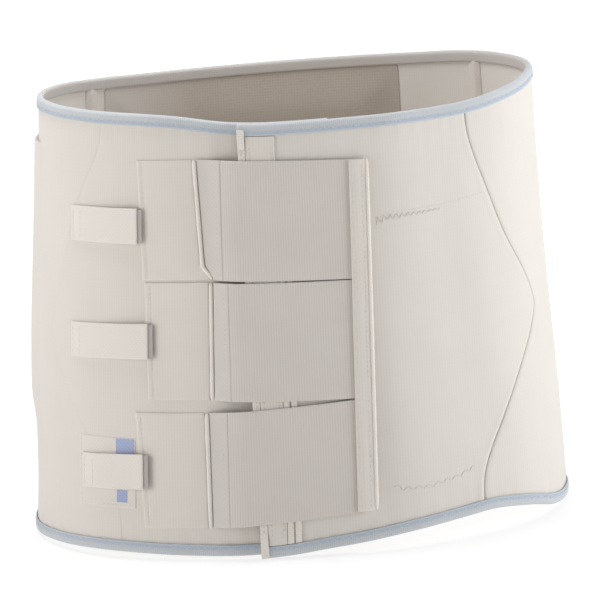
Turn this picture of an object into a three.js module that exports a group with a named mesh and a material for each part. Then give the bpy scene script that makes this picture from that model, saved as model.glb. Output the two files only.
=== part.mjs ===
// Abdominal binder: a closed elastic belt with a lapped front, three ribbed straps, tabs and bound rims.
// Millimetres, +Z up, the front faces -Y. It stands on its lower rim with the waist opening through it.

import * as THREE from 'three';

// Body form
const HEIGHT = 262; // upper rim above the floor at the middle of the front
const TOP_HALF_WIDTH = 151.3;
const BOTTOM_HALF_WIDTH = 166.7;
const TOP_FRONT_DEPTH = 111;
const BOTTOM_FRONT_DEPTH = 122;
const TOP_BACK_DEPTH = 95;
const BOTTOM_BACK_DEPTH = 105;
const SQUARENESS = 2.15; // exponent of the plan section, 2 is an ellipse
const LEAN = 7.2; // how far the top stands to the right of the bottom

// Cloth and clearance
const CLOTH = 1.8; // knitted panels
const TAPE = 0.8; // binding, facing and edge tape
const GAP = 0.3; // between pieces that lie on each other
const INNER_GAP = 0.5; // between the wall and what lies against its hollow side
const ELASTIC = 1.3; // ribbed strap webbing
const END_WEB = 1.6; // plain end of each strap
const EXTENSION_CLOTH = 1.4;
const TAB_CLOTH = 1.2;
const LABEL_CLOTH = 0.4;
const MARK_CLOTH = 0.3;
const WRAP_CLOTH = 2.4;
const WRAP_FRONT_EDGE = 0.5; // thickness of the wrap where it runs out at the front
const PAD_CLOTH = 4;
const CHANNEL_CLOTH = 1.5;

// Rims and lap
const BINDING_WIDTH = 6;
const BINDING_GAP = 0.4; // between a rim and the binding folded round it
const LAP_TOP = 31.5; // reach of the over panel past the front line, at the upper rim
const LAP_BOTTOM = 24.5;
const UNDER_REACH = 24; // reach of the under panel beneath the lap
const CORNER_DROP = 1.4; // how much lower the over panel's front corner hangs
const CORNER_FADE = 42; // girth over which that drop fades out
const LAP_FADE_START = 50; // girth where the over panel starts to sink to the body form
const LAP_FADE_END = 105;
const EDGE_TAPE_WIDTH = 4.3;
const EDGE_TAPE_TOP_MARGIN = 2.5;
const EDGE_TAPE_EASE = 3; // past the binding before the tape sinks to the panel
const FACING_TOP_WIDTH = 18;
const FACING_BOTTOM_WIDTH = 10;
const CHANNEL_RIDGE_WIDTH = 3.5;
const CHANNEL_GROOVE = 1;
const CHANNEL_TOP_MARGIN = 34;

// Straps
const STRAP_REACH = 55; // front line to the rolled edge
const BEAD_DIAMETER = 2.6;
const STRAP_RISE_LENGTH = 24; // girth over which the strap climbs onto the lap
const EXTENSION_REACH = 96; // front line to the extension's left edge
const TAB_REACH = 93; // front line to the tab's free end
const TAB_LENGTH = 54;
const TAB_WIDTH = 21.5;
const TAB_LIFT = 4.4; // how far the free end stands off
const STAY_TOP_GIRTH = 35; // left edge of the stay band
const STAY_BOTTOM_GIRTH = 29.3;
const STAY_WIDTH = 9.4;
const STAY_CLOTH = 1.4; // cover of the stay band over the strap ends
const STAY_OVERLAP = 4; // cover of the stay band over the strap ends, along the girth
const STAY_MARGIN_TOP = 24;
const STAY_MARGIN_BOTTOM = 27;
const STAY_BEAD_DIAMETER = 2.2;

// Label, side wrap and the inside
const LABEL_WIDTH = 41;
const LABEL_HEIGHT = 43;
const LABEL_CLEARANCE = 0.6; // to the extension's left edge
const WRAP_FRONT_GIRTH = 152;
const WRAP_BACK_GIRTH = 300;
const WRAP_TOP_MARGIN = 16;
const WRAP_FRONT_FADE = 38; // girth over which its front edge thins out
const WRAP_BOTTOM_FADE = 31; // height over which its lower edge thins out
const WRAP_BOTTOM_MARGIN = 62;
const PAD_RIGHT_REACH = 80; // from the middle of the back
const PAD_LEFT_REACH = 126;
const PAD_TOP_MARGIN = 8;
const PAD_BOTTOM_MARGIN = 40;
const INNER_CHANNEL_GIRTH = 292;
const INNER_CHANNEL_WIDTH = 9;
const INNER_CHANNEL_MARGIN = 12;

// Heights of the bound rims as shares of HEIGHT, along the girth as a share of the half girth
const RIMS = [
  { girth: -1, top: 1.045, bottom: 0 },
  { girth: -0.8, top: 1.0433, bottom: 0 },
  { girth: -0.7, top: 1.047, bottom: 0 },
  { girth: -0.598, top: 1.0515, bottom: 0.001 },
  { girth: -0.428, top: 1.047, bottom: 0.0095 },
  { girth: -0.287, top: 1.0374, bottom: 0.0157 },
  { girth: -0.177, top: 1.0277, bottom: 0.0128 },
  { girth: -0.092, top: 1.0088, bottom: 0.0098 },
  { girth: -0.046, top: 1.0039, bottom: 0.0112 },
  { girth: 0, top: 1.0028, bottom: 0.0148 },
  { girth: 0.08, top: 1.0032, bottom: 0.0268 },
  { girth: 0.147, top: 1.0036, bottom: 0.0388 },
  { girth: 0.216, top: 1.0037, bottom: 0.0471 },
  { girth: 0.274, top: 1.0068, bottom: 0.051 },
  { girth: 0.343, top: 1.0187, bottom: 0.0347 },
  { girth: 0.402, top: 1.0293, bottom: 0.0117 },
  { girth: 0.471, top: 1.042, bottom: 0.004 },
  { girth: 0.598, top: 1.0497, bottom: 0.001 },
  { girth: 0.7, top: 1.0536, bottom: 0 },
  { girth: 0.8, top: 1.049, bottom: 0 },
  { girth: 1, top: 1.045, bottom: 0 },
];

// Hexagon seams: girth as a share of the half girth, at heights as shares of HEIGHT
const SEAMS = [
  { height: 0, right: 0.255, left: 0.255 },
  { height: 0.1, right: 0.262, left: 0.262 },
  { height: 0.229, right: 0.302, left: 0.302 },
  { height: 0.334, right: 0.34, left: 0.346 },
  { height: 0.439, right: 0.379, left: 0.386 },
  { height: 0.496, right: 0.39, left: 0.395 },
  { height: 0.656, right: 0.332, left: 0.364 },
  { height: 0.782, right: 0.3, left: 0.338 },
  { height: 0.927, right: 0.271, left: 0.292 },
  { height: 1.05, right: 0.27, left: 0.283 },
];

// Soft bulges and dents: place and reach as shares of the half girth and HEIGHT, depth as a share of CLOTH
const DENTS = [
  { girth: -0.5, height: 0.48, girthReach: 0.16, heightReach: 0.25, depth: 0.7 },
  { girth: -0.5, height: 0.12, girthReach: 0.16, heightReach: 0.18, depth: -0.7 },
  { girth: 0.5, height: 0.15, girthReach: 0.13, heightReach: 0.25, depth: 0.4 },
  { girth: 0.5, height: 0.7, girthReach: 0.13, heightReach: 0.25, depth: -0.3 },
];

// Straps from top to bottom: heights as shares of HEIGHT, girths as shares of the reach that they belong to
const STRAPS = [
  {
    name: 'top',
    leftLow: 0.654, leftHigh: 0.927, rightLow: 0.64, rightHigh: 0.91,
    beadTop: 1.078, beadBottom: 0.996, webEnd: 0.771, extensionTop: 1.01, extensionBottom: 0.977,
    tabEnd: 1.03, tabLength: 0.98, tabRise: -0.012, tabTilt: 0, hasLabel: false,
  },
  {
    name: 'middle',
    leftLow: 0.376, leftHigh: 0.646, rightLow: 0.364, rightHigh: 0.635,
    beadTop: 0.915, beadBottom: 0.93, webEnd: 0.715, extensionTop: 0.964, extensionBottom: 0.948,
    tabEnd: 0.965, tabLength: 1.09, tabRise: -0.005, tabTilt: 0.03, hasLabel: false,
  },
  {
    name: 'bottom',
    leftLow: 0.077, leftHigh: 0.345, rightLow: 0.102, rightHigh: 0.361,
    beadTop: 0.996, beadBottom: 0.978, webEnd: 0.764, extensionTop: 1.04, extensionBottom: 0.985,
    tabEnd: 1.006, tabLength: 0.83, tabRise: -0.01, tabTilt: 0.05, hasLabel: true,
  },
];

// Shapes on the label: sizes, inset from its right edge and lower end, as shares of its width and height
const MARKS = [
  { name: 'upper', width: 0.305, height: 0.24, inset: 0.015, low: 0.75 },
  { name: 'lower', width: 0.171, height: 0.174, inset: 0.137, low: 0.077 },
];

// Mesh density
const GIRTH_STEP = 8;
const STRAP_STEP = 4;
const TAB_STEP = 5.4;
const STRIP_COLUMNS = 3; // steps across a narrow strip
const SECTION_SAMPLES = 720;
const RING_SIDES = 8;
const PANEL_ROWS = 6;
const STRIP_ROWS = 8;
const EDGE_TAPE_ROWS = 32;
const CHANNEL_ROWS = 12;

const COLOURS = {
  panel: '#e6ddd5',
  pad: '#a8927e',
  binding: '#dfe6ee',
  elastic: '#bfb7af',
  web: '#cdc4bc',
  extension: '#ebe3db',
  tab: '#f0e9e2',
  label: '#f2eeea',
  mark: '#5f8fc4',
  channel: '#f0e8df',
};

const mix = (from, to, share) => from + (to - from) * share;

function smooth(from, to, value) {
  const share = THREE.MathUtils.clamp((value - from) / (to - from), 0, 1);
  return share * share * (3 - 2 * share);
}

// A smooth curve through one column of a table
function tableAt(rows, key, column, value) {
  const last = rows.length - 1;
  let i = 0;
  while (i < last - 1 && rows[i + 1][key] < value) {
    i += 1;
  }
  const slope = (j) => {
    const before = rows[Math.max(j - 1, 0)];
    const after = rows[Math.min(j + 1, last)];
    return (after[column] - before[column]) / (after[key] - before[key]);
  };
  const width = rows[i + 1][key] - rows[i][key];
  const t = THREE.MathUtils.clamp((value - rows[i][key]) / width, 0, 1);
  const rise = t * t * (3 - 2 * t);
  const leave = t * (1 - t) * (1 - t) * width;
  const arrive = t * t * (1 - t) * width;
  return mix(rows[i][column], rows[i + 1][column], rise) + leave * slope(i) - arrive * slope(i + 1);
}

// Half width and depth of the plan section at a height
function sectionAt(height, isFront) {
  const share = height / HEIGHT;
  const depth = isFront
    ? mix(BOTTOM_FRONT_DEPTH, TOP_FRONT_DEPTH, share)
    : mix(BOTTOM_BACK_DEPTH, TOP_BACK_DEPTH, share);
  return { halfWidth: mix(BOTTOM_HALF_WIDTH, TOP_HALF_WIDTH, share), depth, shift: LEAN * (share - 0.5) };
}

const rounded = (value, power) => Math.sign(value) * Math.abs(value) ** power;

// Point of the plan section: angle 0 is the middle of the front, a positive angle turns to +X
function sectionPoint(angle, height) {
  const isFront = Math.cos(angle) > 0;
  const { halfWidth, depth, shift } = sectionAt(height, isFront);
  const across = rounded(Math.sin(angle), 2 / SQUARENESS);
  const along = -rounded(Math.cos(angle), 2 / SQUARENESS);
  const normal = new THREE.Vector3(
    rounded(across, SQUARENESS - 1) / halfWidth,
    rounded(along, SQUARENESS - 1) / depth,
    0,
  ).normalize();
  return { point: new THREE.Vector3(across * halfWidth + shift, along * depth, height), normal };
}

// Girth measured at mid height from the front line, as a table of angle against girth
function measureGirth() {
  const angles = [];
  const lengths = [];
  let length = 0;
  let previous = null;
  for (let i = 0; i <= SECTION_SAMPLES; i += 1) {
    const angle = (i / SECTION_SAMPLES) * Math.PI;
    const { point } = sectionPoint(angle, HEIGHT / 2);
    length += previous ? point.distanceTo(previous) : 0;
    angles.push(angle);
    lengths.push(length);
    previous = point;
  }
  return { angles, lengths };
}

const GIRTH = measureGirth();
const HALF_GIRTH = GIRTH.lengths[SECTION_SAMPLES];

function wrapGirth(girth) {
  const turn = 2 * HALF_GIRTH;
  return girth - turn * Math.round(girth / turn);
}

function angleAt(girth) {
  const wanted = Math.abs(girth);
  let low = 0;
  let high = SECTION_SAMPLES;
  while (high - low > 1) {
    const middle = (low + high) >> 1;
    if (GIRTH.lengths[middle] > wanted) {
      high = middle;
    } else {
      low = middle;
    }
  }
  const share = (wanted - GIRTH.lengths[low]) / (GIRTH.lengths[high] - GIRTH.lengths[low]);
  return Math.sign(girth) * mix(GIRTH.angles[low], GIRTH.angles[high], share);
}

function dentAt(girth, height) {
  return DENTS.reduce((sum, dent) => {
    const across = (girth / HALF_GIRTH - dent.girth) / dent.girthReach;
    const up = (height / HEIGHT - dent.height) / dent.heightReach;
    return sum + dent.depth * CLOTH * Math.exp(-across * across - up * up);
  }, 0);
}

// Point on the body form, moved out along its normal
function bodyPoint(unrolled, height, offset) {
  const girth = wrapGirth(unrolled);
  const { point, normal } = sectionPoint(angleAt(girth), height);
  return point.addScaledVector(normal, offset + dentAt(girth, height));
}

// Rims, lap and levels
const FOLD = BINDING_GAP + TAPE; // from the cloth's rim to the outside of the binding
const rimAt = (girth, column) => HEIGHT * tableAt(RIMS, 'girth', column, wrapGirth(girth) / HALF_GIRTH);
const topRim = (girth) => rimAt(girth, 'top') - FOLD;
const bottomRim = (girth) => rimAt(girth, 'bottom') + FOLD;
const overBottomRim = (girth) =>
  bottomRim(girth) - CORNER_DROP * (1 - smooth(-LAP_BOTTOM, CORNER_FADE - LAP_BOTTOM, girth));
const lapEdge = (share) => -mix(LAP_BOTTOM, LAP_TOP, share);
const seamRight = (share) => HALF_GIRTH * tableAt(SEAMS, 'height', 'right', share);
const seamLeft = (share) => -HALF_GIRTH * tableAt(SEAMS, 'height', 'left', share);
const LAP_RISE = CLOTH + 2 * FOLD + GAP;
const overLevel = (girth) => LAP_RISE * (1 - smooth(LAP_FADE_START, LAP_FADE_END, girth));

const UNDER_TOP = CLOTH + GAP; // seat on the under and back panels
const OVER_TOP = LAP_RISE + CLOTH + GAP; // seat on the over panel
const STRAP_SEAT = OVER_TOP + TAPE + GAP; // seat on the facing

// Turns every face outward
function closedGeometry(vertices, triangles) {
  let volume = 0;
  for (const [a, b, c] of triangles) {
    volume += vertices[a].dot(vertices[b].clone().cross(vertices[c]));
  }
  const ordered = volume < 0 ? triangles.map(([a, b, c]) => [a, c, b]) : triangles;
  const geometry = new THREE.BufferGeometry();
  geometry.setAttribute('position', new THREE.Float32BufferAttribute(vertices.flatMap((v) => v.toArray()), 3));
  geometry.setIndex(ordered.flat());
  geometry.computeVertexNormals();
  return geometry;
}

// A cloth piece between two offsets. Edges left and right give girth at a height share of the belt,
// edges low and high give height at a girth, and offsets are functions of girth and height.
// A piece that spans both rims takes its own height share for the belt's, so that seams match.
function clothPiece({ left, right, low, high, inner, outer, rows = 2, step = GIRTH_STEP, spansRims = false }) {
  const columns = Math.max(2, Math.ceil(Math.abs(right(0.5) - left(0.5)) / step));
  const centre = (left(0.5) + right(0.5)) / 2;
  const width = columns + 1;
  const layer = width * (rows + 1);
  const vertices = [];
  for (const offset of [inner, outer]) {
    for (let j = 0; j <= rows; j += 1) {
      for (let i = 0; i <= columns; i += 1) {
        const share = j / rows;
        const level = spansRims ? share : mix(low(centre), high(centre), share) / HEIGHT;
        const girth = mix(left(level), right(level), i / columns);
        const height = mix(low(girth), high(girth), share);
        vertices.push(bodyPoint(girth, height, offset(girth, height)));
      }
    }
  }
  const triangles = [];
  const quad = (a, b, c, d) => triangles.push([a, b, c], [a, c, d]);
  for (let j = 0; j < rows; j += 1) {
    for (let i = 0; i < columns; i += 1) {
      const a = j * width + i;
      quad(a, a + width, a + width + 1, a + 1);
      quad(layer + a, layer + a + 1, layer + a + width + 1, layer + a + width);
    }
  }
  for (let i = 0; i < columns; i += 1) {
    const top = rows * width + i;
    quad(i, i + 1, layer + i + 1, layer + i);
    quad(top + 1, top, layer + top, layer + top + 1);
  }
  for (let j = 0; j < rows; j += 1) {
    const start = j * width;
    const end = start + columns;
    quad(start + width, start, layer + start, layer + start + width);
    quad(end, end + width, layer + end + width, layer + end);
  }
  return closedGeometry(vertices, triangles);
}

// A closed section carried from one end to the other, with capped ends
function sweptPiece(sections, capTriangles) {
  const size = sections[0].length;
  const vertices = sections.flat();
  const triangles = [];
  for (let j = 0; j < sections.length - 1; j += 1) {
    for (let i = 0; i < size; i += 1) {
      const a = j * size + i;
      const b = j * size + ((i + 1) % size);
      triangles.push([a, b, b + size], [a, b + size, a + size]);
    }
  }
  const end = (sections.length - 1) * size;
  for (const [a, b, c] of capTriangles) {
    triangles.push([a, c, b], [end + a, end + b, end + c]);
  }
  return closedGeometry(vertices, triangles);
}

// Folded binding over a rim, from the under panel's end round the back to the over panel's edge
function bindingPiece(rimAt, upward, lapReach) {
  const start = UNDER_REACH;
  const end = -2 * HALF_GIRTH - lapReach;
  const count = Math.ceil((start - end) / GIRTH_STEP);
  const sections = [];
  for (let i = 0; i <= count; i += 1) {
    const unrolled = mix(start, end, i / count);
    const isOver = unrolled < -HALF_GIRTH;
    const girth = wrapGirth(unrolled);
    const level = isOver ? overLevel(girth) : 0;
    const rim = rimAt(girth, isOver);
    const ring = [
      [level + CLOTH + FOLD, -BINDING_WIDTH],
      [level + CLOTH + FOLD, FOLD],
      [level - FOLD, FOLD],
      [level - FOLD, -BINDING_WIDTH],
      [level - BINDING_GAP, -BINDING_WIDTH],
      [level - BINDING_GAP, BINDING_GAP],
      [level + CLOTH + BINDING_GAP, BINDING_GAP],
      [level + CLOTH + BINDING_GAP, -BINDING_WIDTH],
    ];
    sections.push(ring.map(([offset, rise]) => bodyPoint(girth, rim + upward * rise, offset)));
  }
  const caps = [[0, 1, 6], [0, 6, 7], [1, 2, 5], [1, 5, 6], [2, 3, 4], [2, 4, 5]];
  return sweptPiece(sections, caps);
}

// A round bead that runs up the cloth
function beadPiece({ girthAt, low, high, diameter, seat, rows = 6 }) {
  const radius = diameter / 2;
  const sections = [];
  for (let j = 0; j <= rows; j += 1) {
    const share = j / rows;
    const girth = girthAt(share);
    const height = mix(low, high, share);
    const ring = [];
    for (let k = 0; k < RING_SIDES; k += 1) {
      const turn = (k / RING_SIDES) * 2 * Math.PI;
      ring.push(bodyPoint(girth + radius * Math.cos(turn), height, seat + radius + radius * Math.sin(turn)));
    }
    sections.push(ring);
  }
  const caps = [];
  for (let k = 1; k < RING_SIDES - 1; k += 1) {
    caps.push([0, k, k + 1]);
  }
  return sweptPiece(sections, caps);
}

const binder = new THREE.Group();

function addPiece(name, geometry, colour, roughness = 0.9) {
  const material = new THREE.MeshStandardMaterial({ color: colour, roughness, metalness: 0 });
  const mesh = new THREE.Mesh(geometry, material);
  mesh.name = name;
  binder.add(mesh);
}

const fixed = (value) => () => value;

// Knitted panels, which butt at the hexagon seams
function addPanels() {
  addPiece('back_panel', clothPiece({
    left: (share) => seamRight(share) + GAP,
    right: (share) => 2 * HALF_GIRTH + seamLeft(share) - GAP,
    low: bottomRim,
    high: topRim,
    inner: fixed(0),
    outer: fixed(CLOTH),
    rows: PANEL_ROWS,
    spansRims: true,
  }), COLOURS.panel);
  addPiece('front_panel_under', clothPiece({
    left: seamLeft,
    right: fixed(UNDER_REACH),
    low: bottomRim,
    high: topRim,
    inner: fixed(0),
    outer: fixed(CLOTH),
    rows: PANEL_ROWS,
    spansRims: true,
  }), COLOURS.panel);
  addPiece('front_panel_over', clothPiece({
    left: lapEdge,
    right: seamRight,
    low: overBottomRim,
    high: topRim,
    inner: overLevel,
    outer: (girth) => overLevel(girth) + CLOTH,
    rows: PANEL_ROWS,
    spansRims: true,
  }), COLOURS.panel);
}

function addBindings() {
  const lower = (girth, isOver) => (isOver ? overBottomRim(girth) : bottomRim(girth));
  addPiece('top_binding', bindingPiece(topRim, 1, LAP_TOP), COLOURS.binding);
  addPiece('bottom_binding', bindingPiece(lower, -1, LAP_BOTTOM), COLOURS.binding);
}

// Tape, facing and stay channel beside the free front edge
function addPlacket() {
  const clearance = BINDING_WIDTH + GAP;
  const overBinding = (girth, height) => {
    const toRim = Math.min(topRim(girth) - height, height - overBottomRim(girth));
    const start = clearance + EDGE_TAPE_EASE;
    return OVER_TOP + (TAPE + GAP) * (1 - smooth(start, start + clearance, toRim));
  };
  addPiece('front_edge_tape', clothPiece({
    left: (share) => lapEdge(share) - GAP,
    right: (share) => lapEdge(share) - GAP + EDGE_TAPE_WIDTH,
    low: (girth) => overBottomRim(girth) - TAPE,
    high: (girth) => topRim(girth) - EDGE_TAPE_TOP_MARGIN,
    inner: overBinding,
    outer: (girth, height) => overBinding(girth, height) + TAPE,
    rows: EDGE_TAPE_ROWS,
  }), COLOURS.tab);
  const facingLeft = (share) => lapEdge(share) + EDGE_TAPE_WIDTH;
  const facingRight = (share) => facingLeft(share) + mix(FACING_BOTTOM_WIDTH, FACING_TOP_WIDTH, share);
  addPiece('placket_facing', clothPiece({
    left: facingLeft,
    right: facingRight,
    low: (girth) => overBottomRim(girth) + clearance,
    high: (girth) => topRim(girth) - clearance,
    inner: fixed(OVER_TOP),
    outer: fixed(OVER_TOP + TAPE),
    rows: STRIP_ROWS,
  }), COLOURS.panel);
  for (const [index, side] of ['left', 'right'].entries()) {
    const start = (share) => facingRight(share) + GAP + index * (CHANNEL_RIDGE_WIDTH + CHANNEL_GROOVE);
    addPiece(`front_stay_channel_${side}`, clothPiece({
      left: start,
      right: (share) => start(share) + CHANNEL_RIDGE_WIDTH,
      low: (girth) => overBottomRim(girth) + clearance,
      high: (girth) => topRim(girth) - CHANNEL_TOP_MARGIN,
      inner: fixed(OVER_TOP),
      outer: fixed(OVER_TOP + TAPE),
      rows: STRIP_ROWS,
    }), COLOURS.channel);
  }
}

// Height of a strap's edge between its left end at the bead and its right end at the stay band
function strapEdge(row, side) {
  return (girth) => {
    const share = (girth + STRAP_REACH) / (STRAP_REACH + STAY_TOP_GIRTH);
    return HEIGHT * mix(row[`left${side}`], row[`right${side}`], THREE.MathUtils.clamp(share, 0, 1));
  };
}

// Seat of a strap, which climbs from the left panel onto the facing
function strapSeat(girth) {
  const climb = THREE.MathUtils.clamp((girth + STRAP_REACH) / STRAP_RISE_LENGTH, 0, 1);
  return mix(UNDER_TOP, STRAP_SEAT, climb);
}

const stayEdge = (share) => mix(STAY_BOTTOM_GIRTH, STAY_TOP_GIRTH, share);
const stripeShare = (row, share) =>
  THREE.MathUtils.clamp((share - row.leftLow) / (row.leftHigh - row.leftLow), 0, 1);

// One strap: ribbed elastic, plain woven end, rolled edge, plain extension and pull tab
function addStrap(row) {
  const low = strapEdge(row, 'Low');
  const high = strapEdge(row, 'High');
  const bead = (share) => -STRAP_REACH * mix(row.beadBottom, row.beadTop, stripeShare(row, share));
  const webLeft = (share) => bead(share) + BEAD_DIAMETER / 2 + GAP;
  const webRight = fixed(-STRAP_REACH * row.webEnd);
  addPiece(`strap_elastic_${row.name}`, clothPiece({
    left: (share) => webRight(share) + GAP,
    right: (share) => stayEdge(share) + STAY_OVERLAP,
    low,
    high,
    inner: strapSeat,
    outer: (girth) => strapSeat(girth) + ELASTIC,
    step: STRAP_STEP,
  }), COLOURS.elastic);
  addPiece(`strap_end_band_${row.name}`, clothPiece({
    left: webLeft,
    right: webRight,
    low,
    high,
    inner: strapSeat,
    outer: (girth) => strapSeat(girth) + END_WEB,
    step: STRAP_STEP,
  }), COLOURS.web);
  addPiece(`strap_bead_${row.name}`, beadPiece({
    girthAt: (share) => bead(mix(row.leftLow, row.leftHigh, share)),
    low: low(-STRAP_REACH),
    high: high(-STRAP_REACH),
    diameter: BEAD_DIAMETER,
    seat: UNDER_TOP,
  }), COLOURS.tab);
  const extensionLeft = (share) =>
    -EXTENSION_REACH * mix(row.extensionBottom, row.extensionTop, stripeShare(row, share));
  addPiece(`strap_extension_${row.name}`, clothPiece({
    left: extensionLeft,
    right: (share) => bead(share) - BEAD_DIAMETER / 2 - GAP,
    low,
    high,
    inner: fixed(UNDER_TOP),
    outer: fixed(UNDER_TOP + EXTENSION_CLOTH),
  }), COLOURS.extension);
  addTab(row);
}

const tabMiddle = (row) => HEIGHT * ((row.leftLow + row.leftHigh) / 2 + row.tabRise);

// A narrow tab, sewn down at its left end and lifted at its free end over the extension's edge
function addTab(row) {
  const end = -TAB_REACH * row.tabEnd;
  const length = TAB_LENGTH * row.tabLength;
  const middle = tabMiddle(row);
  const tilt = (girth) => row.tabTilt * (girth - end + length);
  const seat = UNDER_TOP + (row.hasLabel ? LABEL_CLOTH + GAP : 0);
  const reachShare = (girth) => THREE.MathUtils.clamp((girth - end + length) / length, 0, 1);
  const lifted = (girth) => seat + TAB_LIFT * reachShare(girth) ** 2;
  addPiece(`pull_tab_${row.name}`, clothPiece({
    left: fixed(end - length),
    right: fixed(end),
    low: (girth) => middle - TAB_WIDTH / 2 + tilt(girth),
    high: (girth) => middle + TAB_WIDTH / 2 + tilt(girth),
    inner: lifted,
    outer: (girth) => lifted(girth) + TAB_CLOTH,
    step: TAB_STEP,
  }), COLOURS.tab);
}

// The upright band that holds the straps' right ends, with its piped edge
function addStayBand() {
  const low = STAY_MARGIN_BOTTOM;
  const high = HEIGHT - STAY_MARGIN_TOP;
  const cover = STRAP_SEAT + ELASTIC + GAP;
  addPiece('stay_band_cover', clothPiece({
    left: stayEdge,
    right: (share) => stayEdge(share) + STAY_WIDTH,
    low: fixed(low),
    high: fixed(high),
    inner: fixed(cover),
    outer: fixed(cover + STAY_CLOTH),
    rows: STRIP_ROWS,
    step: STAY_WIDTH / STRIP_COLUMNS,
  }), COLOURS.extension);
  addPiece('stay_band', clothPiece({
    left: (share) => stayEdge(share) + STAY_OVERLAP + GAP,
    right: (share) => stayEdge(share) + STAY_WIDTH,
    low: fixed(low),
    high: fixed(high),
    inner: fixed(OVER_TOP),
    outer: fixed(cover - GAP),
    rows: STRIP_ROWS,
    step: STAY_WIDTH / STRIP_COLUMNS,
  }), COLOURS.extension);
  addPiece('stay_band_bead', beadPiece({
    girthAt: (share) => stayEdge(mix(low, high, share) / HEIGHT) + STAY_WIDTH + STAY_BEAD_DIAMETER / 2 + GAP,
    low,
    high,
    diameter: STAY_BEAD_DIAMETER,
    seat: cover - GAP,
    rows: STRIP_ROWS,
  }), COLOURS.tab);
}

// A bare label with two plain blue shapes, tucked under the lowest tab
function addLabel() {
  const row = STRAPS.find((strap) => strap.hasLabel);
  const right = -EXTENSION_REACH * row.extensionTop - LABEL_CLEARANCE;
  const middle = tabMiddle(row);
  addPiece('care_label', clothPiece({
    left: fixed(right - LABEL_WIDTH),
    right: fixed(right),
    low: fixed(middle - LABEL_HEIGHT / 2),
    high: fixed(middle + LABEL_HEIGHT / 2),
    inner: fixed(UNDER_TOP),
    outer: fixed(UNDER_TOP + LABEL_CLOTH),
  }), COLOURS.label);
  const seat = UNDER_TOP + LABEL_CLOTH + GAP;
  for (const mark of MARKS) {
    const markRight = right - LABEL_WIDTH * mark.inset;
    const markLow = middle + LABEL_HEIGHT * (mark.low - 0.5);
    addPiece(`label_mark_${mark.name}`, clothPiece({
      left: fixed(markRight - LABEL_WIDTH * mark.width),
      right: fixed(markRight),
      low: fixed(markLow),
      high: fixed(markLow + LABEL_HEIGHT * mark.height),
      inner: fixed(seat),
      outer: fixed(seat + MARK_CLOTH),
    }), COLOURS.mark);
  }
}

// The outer layer round the left side, which thins out towards its front and lower edges
function addSideWrap() {
  const front = -WRAP_FRONT_GIRTH;
  addPiece('side_wrap', clothPiece({
    left: fixed(-WRAP_BACK_GIRTH),
    right: fixed(front),
    low: fixed(WRAP_BOTTOM_MARGIN),
    high: fixed(HEIGHT - WRAP_TOP_MARGIN + CLOTH),
    inner: fixed(UNDER_TOP),
    outer: (girth, height) => {
      const fromFront = smooth(0, WRAP_FRONT_FADE, front - girth);
      const fromLow = smooth(0, WRAP_BOTTOM_FADE, height - WRAP_BOTTOM_MARGIN);
      return UNDER_TOP + mix(WRAP_FRONT_EDGE, WRAP_CLOTH, fromFront * fromLow);
    },
    rows: STRIP_ROWS,
  }), COLOURS.panel);
}

// Pad and stay channels inside the back
function addInside() {
  const back = HALF_GIRTH;
  addPiece('back_pad', clothPiece({
    left: fixed(back - PAD_RIGHT_REACH),
    right: fixed(back + PAD_LEFT_REACH),
    low: (girth) => bottomRim(girth) + PAD_BOTTOM_MARGIN,
    high: (girth) => topRim(girth) - PAD_TOP_MARGIN,
    inner: fixed(-INNER_GAP - PAD_CLOTH),
    outer: fixed(-INNER_GAP),
    rows: PANEL_ROWS,
  }), COLOURS.pad);
  for (const [name, centre] of [['right', INNER_CHANNEL_GIRTH], ['left', -INNER_CHANNEL_GIRTH]]) {
    addPiece(`inner_stay_channel_${name}`, clothPiece({
      left: fixed(centre - INNER_CHANNEL_WIDTH / 2),
      right: fixed(centre + INNER_CHANNEL_WIDTH / 2),
      low: (girth) => bottomRim(girth) + INNER_CHANNEL_MARGIN,
      high: (girth) => topRim(girth) - INNER_CHANNEL_MARGIN,
      inner: fixed(-INNER_GAP - CHANNEL_CLOTH),
      outer: fixed(-INNER_GAP),
      rows: CHANNEL_ROWS,
      step: INNER_CHANNEL_WIDTH / STRIP_COLUMNS,
    }), COLOURS.channel);
  }
}

addPanels();
addBindings();
addPlacket();
for (const row of STRAPS) {
  addStrap(row);
}
addStayBand();
addLabel();
addSideWrap();
addInside();

// The origin is the middle of the outline on the floor
const bounds = new THREE.Box3().setFromObject(binder);
const centre = bounds.getCenter(new THREE.Vector3());
binder.position.set(-centre.x, -centre.y, -bounds.min.z);

export default binder;
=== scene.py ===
import logging
import math
from dataclasses import dataclass, field
from enum import Enum
from typing import Callable, Optional, Sequence

import bpy
import numpy as np
from mathutils import Matrix, Vector


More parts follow.
